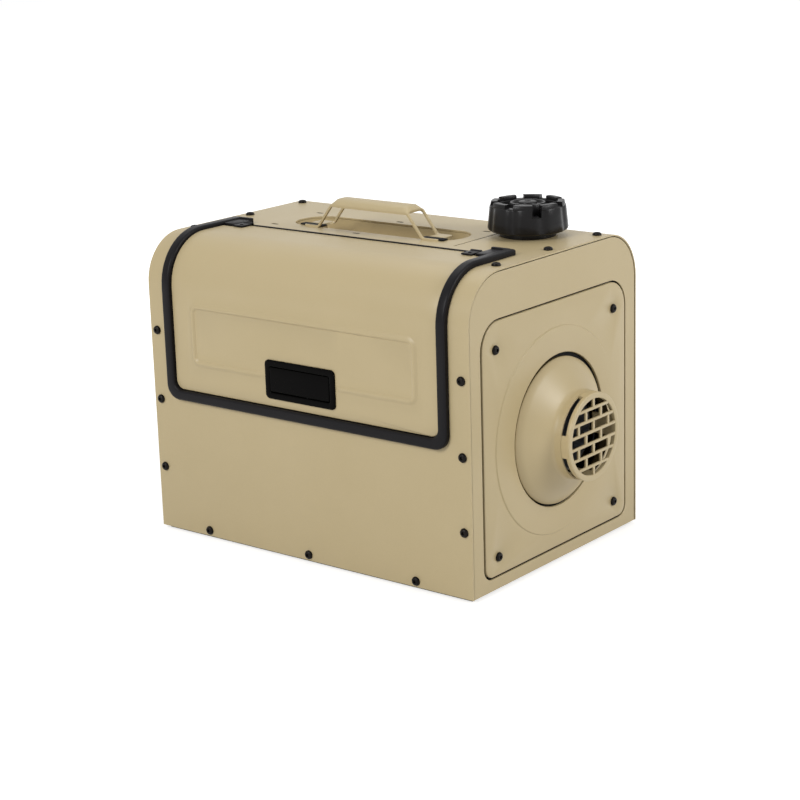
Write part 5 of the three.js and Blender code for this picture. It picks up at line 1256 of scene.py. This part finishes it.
for side in (-1, 1):
    cheek = sorted((side * notch_side, side * (notch_side + 1)))
    slab(bm, (NOTCH_BACK, NOTCH_FRONT - 0.4), cheek, (notch_low, notch_high))
place_in(bm, Matrix.Rotation(NOTCH_TURN, 4, "Z"), before)
block_turn = 360 / RIM_BLOCKS
for i in range(RIM_BLOCKS):
    before = set(bm.verts)
    turned(bm, [(crown_z - 1, BLOCK_INNER), (cap_top, BLOCK_INNER + 0.4),
                (cap_top, BLOCK_OUTER - 1), (crown_z - 1, BLOCK_OUTER)],
           0.8, 14, closed=True, turn=block_turn * BLOCK_SHARE)
    start = NOTCH_TURN + math.radians(block_turn * (i + (1 - BLOCK_SHARE) / 2))
    place_in(bm, Matrix.Rotation(start, 4, "Z"), before)
place_in(bm, facing("top", x=filler_x, y=filler_y))
keep_piece(bm, "cap_knob", "fuel_cap")

# %% [markdown]
# ## Screws
# Every row is three button-head screws and the tapped strip that they pull against inside the
# sheet. One head is drawn, domed with a hexagon socket, and placed along each row.

# %% Screw rows
HEAD_TOP = 2.6
# The head from its seat over its dome to the edge of its socket, as heights and radii.
HEAD = [(0, 4.5), (0.7, 4.5), (1.7, 4.05), (2.35, 3.3), (HEAD_TOP, 2.6)]
SOCKET = 1.9
SOCKET_DEPTH = 1.4
SHANK = 2.1
STRIP_HALF = 4
STRIP_BACK = 6.6
STRIP_FRONT = 3.6
STRIP_SOFT = 0.3


def screw(bm, matrix, shank):
    """A button-head screw whose seat is at height 0."""
    before = set(bm.verts)
    turned(bm, [(-shank, 0), (-shank, SHANK), (0, SHANK)] + HEAD, sides=24)
    crown, socket = ring(bm, HEAD[-1][1], sides=24), ring(bm, SOCKET, sides=6)
    fill(bm, crown, socket)
    wall = bmesh.ops.extrude_edge_only(bm, edges=socket)
    low = corners_of(wall)
    edges = [item for item in wall["geom"] if isinstance(item, bmesh.types.BMEdge)]
    fill(bm, [edge for edge in edges if all(v in low for v in edge.verts)])
    lift(bm, crown + socket, HEAD_TOP)
    bmesh.ops.translate(bm, verts=low, vec=(0, 0, HEAD_TOP - SOCKET_DEPTH))
    place_in(bm, matrix, before)


# Where the screws of the side, floor and top rows sit along their row, and each row's own place.
SIDE_ROW, SIDE_X = (68.3, 140.3, 212.3), 191.2
FLOOR_ROW, FLOOR_Z = (-133, 0, 133), 9.3
TOP_ROW, TOP_X = (-81, 3, 87), 189
screw_places = {}
for face, y in (("front", -half_depth), ("rear", half_depth)):
    for side, x in (("left", -SIDE_X), ("right", SIDE_X)):
        screw_places[f"screws_{face}_{side}"] = (face, [(x, y, z) for z in SIDE_ROW])
    screw_places[f"screws_floor_{face}"] = (face, [(x, y, FLOOR_Z) for x in FLOOR_ROW])
for side, x in (("left", -TOP_X), ("right", TOP_X)):
    screw_places[f"screws_top_{side}"] = ("top", [(x, y, case_top) for y in TOP_ROW])

for name, (side, places) in screw_places.items():
    bm = bmesh.new()
    for place in places:
        screw(bm, facing(side, *place) @ Matrix.Translation((0, 0, SEAT)), STRIP_BACK)
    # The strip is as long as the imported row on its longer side, seen from the middle screw.
    lows, highs = zip(*[span(name, axis) for axis in range(3)])
    middle = facing(side, *places[1])
    local = [middle.inverted() @ Vector(corner) for corner in (lows, highs)]
    sides = [sorted(corner[axis] for corner in local) for axis in (0, 1)]
    thin = min((0, 1), key=lambda axis: sides[axis][1] - sides[axis][0])
    sides[thin] = (-STRIP_HALF, STRIP_HALF)
    before = set(bm.verts)
    slab(bm, *sides, (-STRIP_BACK, -STRIP_FRONT), STRIP_SOFT)
    place_in(bm, middle, before)
    keep_piece(bm, name + "_row", name)

# The vent panel's four screws share a bracket of three strips behind it.
PANEL_SEAT = 0.5
PANEL_SHANK = 5
BRACKET = 3
bm = bmesh.new()
bracket_from = span("panel_screws", 0)[0]
bracket_x, bracket_z = (bracket_from, bracket_from + BRACKET), span("panel_screws", 2)
for y in (-SCREW_Y, SCREW_Y):
    for z in SCREW_Z:
        screw(bm, facing("right", x=panel_face - PANEL_SEAT, y=y, z=z), PANEL_SHANK)
for y in (-SCREW_Y, SCREW_Y):
    slab(bm, bracket_x, about(y, STRIP_HALF), bracket_z, STRIP_SOFT)
slab(bm, bracket_x, about(0, SCREW_Y + STRIP_HALF),
     (bracket_z[0], bracket_z[0] + 2 * STRIP_HALF), STRIP_SOFT)
keep_piece(bm, "panel_screw_set", "panel_screws")

# %% [markdown]
# ## Left end, base and pipes
# The left end has a round slotted intake grille and a two-pin power inlet. The pipes leave
# through the rear, low down: each is drawn straight and folded round its bend.

# %% Intake grille
INTAKE_RING = 60
RING_DEPTH = 2.5
SLOT_PITCH = 9
SLOT_HALF = 49.4
SLAT_HALF = 1.5
POST_HALF = 2
bm = bmesh.new()
tube(bm, -RING_DEPTH, 0, SLOT_HALF, INTAKE_RING, RIM_SOFT, sides=96)
for i in range(-5, 6):
    z = (i + 0.5) * SLOT_PITCH
    if abs(z) < SLOT_HALF - SLAT_HALF:
        reach = math.sqrt(SLOT_HALF ** 2 - z ** 2) + 0.5
        slab(bm, (-reach, reach), about(z, SLAT_HALF), (-RING_DEPTH, -0.3), 0.6)
slab(bm, (-POST_HALF, POST_HALF), (-SLOT_HALF, SLOT_HALF), (-RING_DEPTH, -0.5), SOFT)
place_in(bm, facing("left", x=span("intake_grille", 0)[0], z=DUCT_Z))
keep_piece(bm, "intake_slots", "intake_grille", sharp=40)

# %% Power inlet, base pad
PIN_SPREAD = 6
PIN_RADIUS = 1.5
INLET_CORNER = 3
INLET_ROLL = 0.6
RIM_BACK = 2
TUBE_FLOOR = 2
INLET_WALL = 1.6
# Inside the flange: a play of 0.4, then the tube's wall.
INLET_TUBE = INLET_FLANGE + 0.4
inlet_x = span("power_inlet", 0)
inlet_depth = inlet_x[1] - inlet_x[0]


def inlet_outline(bm, inward):
    """The inlet's outer outline, drawn some way further in."""
    return outline(bm, grown(inlet_y, -inward), grown(inlet_z, -inward),
                   INLET_CORNER, INLET_CORNER, steps=4)


bm = bmesh.new()
rolled(bm, fill(bm, inlet_outline(bm, 0), inlet_outline(bm, INLET_TUBE + INLET_WALL)), INLET_ROLL)
thicken(bm, 0, floor=-RIM_BACK)
walls = fill(bm, inlet_outline(bm, INLET_TUBE), inlet_outline(bm, INLET_TUBE + INLET_WALL))
walled(bm, walls, -inlet_depth, -1)
inside = -INLET_TUBE - 1.1
slab(bm, grown(inlet_y, inside), grown(inlet_z, inside), (-inlet_depth, TUBE_FLOOR - inlet_depth))
for side in (-1, 1):
    before = set(bm.verts)
    turned(bm, [(1 - inlet_depth, 0), (1 - inlet_depth, PIN_RADIUS), (-4, PIN_RADIUS), (-3, 0.8),
                (-3, 0)], sides=24)
    pin_y = sum(inlet_y) / 2 + side * PIN_SPREAD
    place_in(bm, Matrix.Translation((pin_y, sum(inlet_z) / 2, 0)), before)
place_in(bm, facing("left", x=inlet_x[0]))
keep_piece(bm, "inlet_socket", "power_inlet")

bm = bmesh.new()
slab(bm, *[span("base_pad", axis) for axis in range(3)], 0.8)
keep_piece(bm, "foot_pad", "base_pad")

# %% Pipes
PIPE_BEND = 29
EXHAUST_WALL = 1.5
INTAKE_WALL = 1.2


def bent_pipe(name, node, x, radius, wall):
    high, tail = span(node, 2)[1], span(node, 1)[1]
    path = ((0, high), -math.pi / 2, [
        (high - PIPE_HEIGHT - PIPE_BEND, 0), arc(PIPE_BEND, 90), (tail - PIPE_BEND, 0)])
    pipe = bmesh.new()
    tube(pipe, 0, sum(run[0] for run in path[2]), radius - wall, radius, 0.35, sides=48)
    place_in(pipe, Matrix.Rotation(-math.pi / 2, 4, "X"))
    crease(pipe, path)
    fold(pipe, path)
    place_in(pipe, Matrix.Translation((x, 0, 0)))
    keep_piece(pipe, name, node, sharp=40)


bent_pipe("exhaust_bend", "exhaust_pipe", *EXHAUST, EXHAUST_WALL)
bent_pipe("intake_bend", "air_intake_pipe", *INTAKE, INTAKE_WALL)
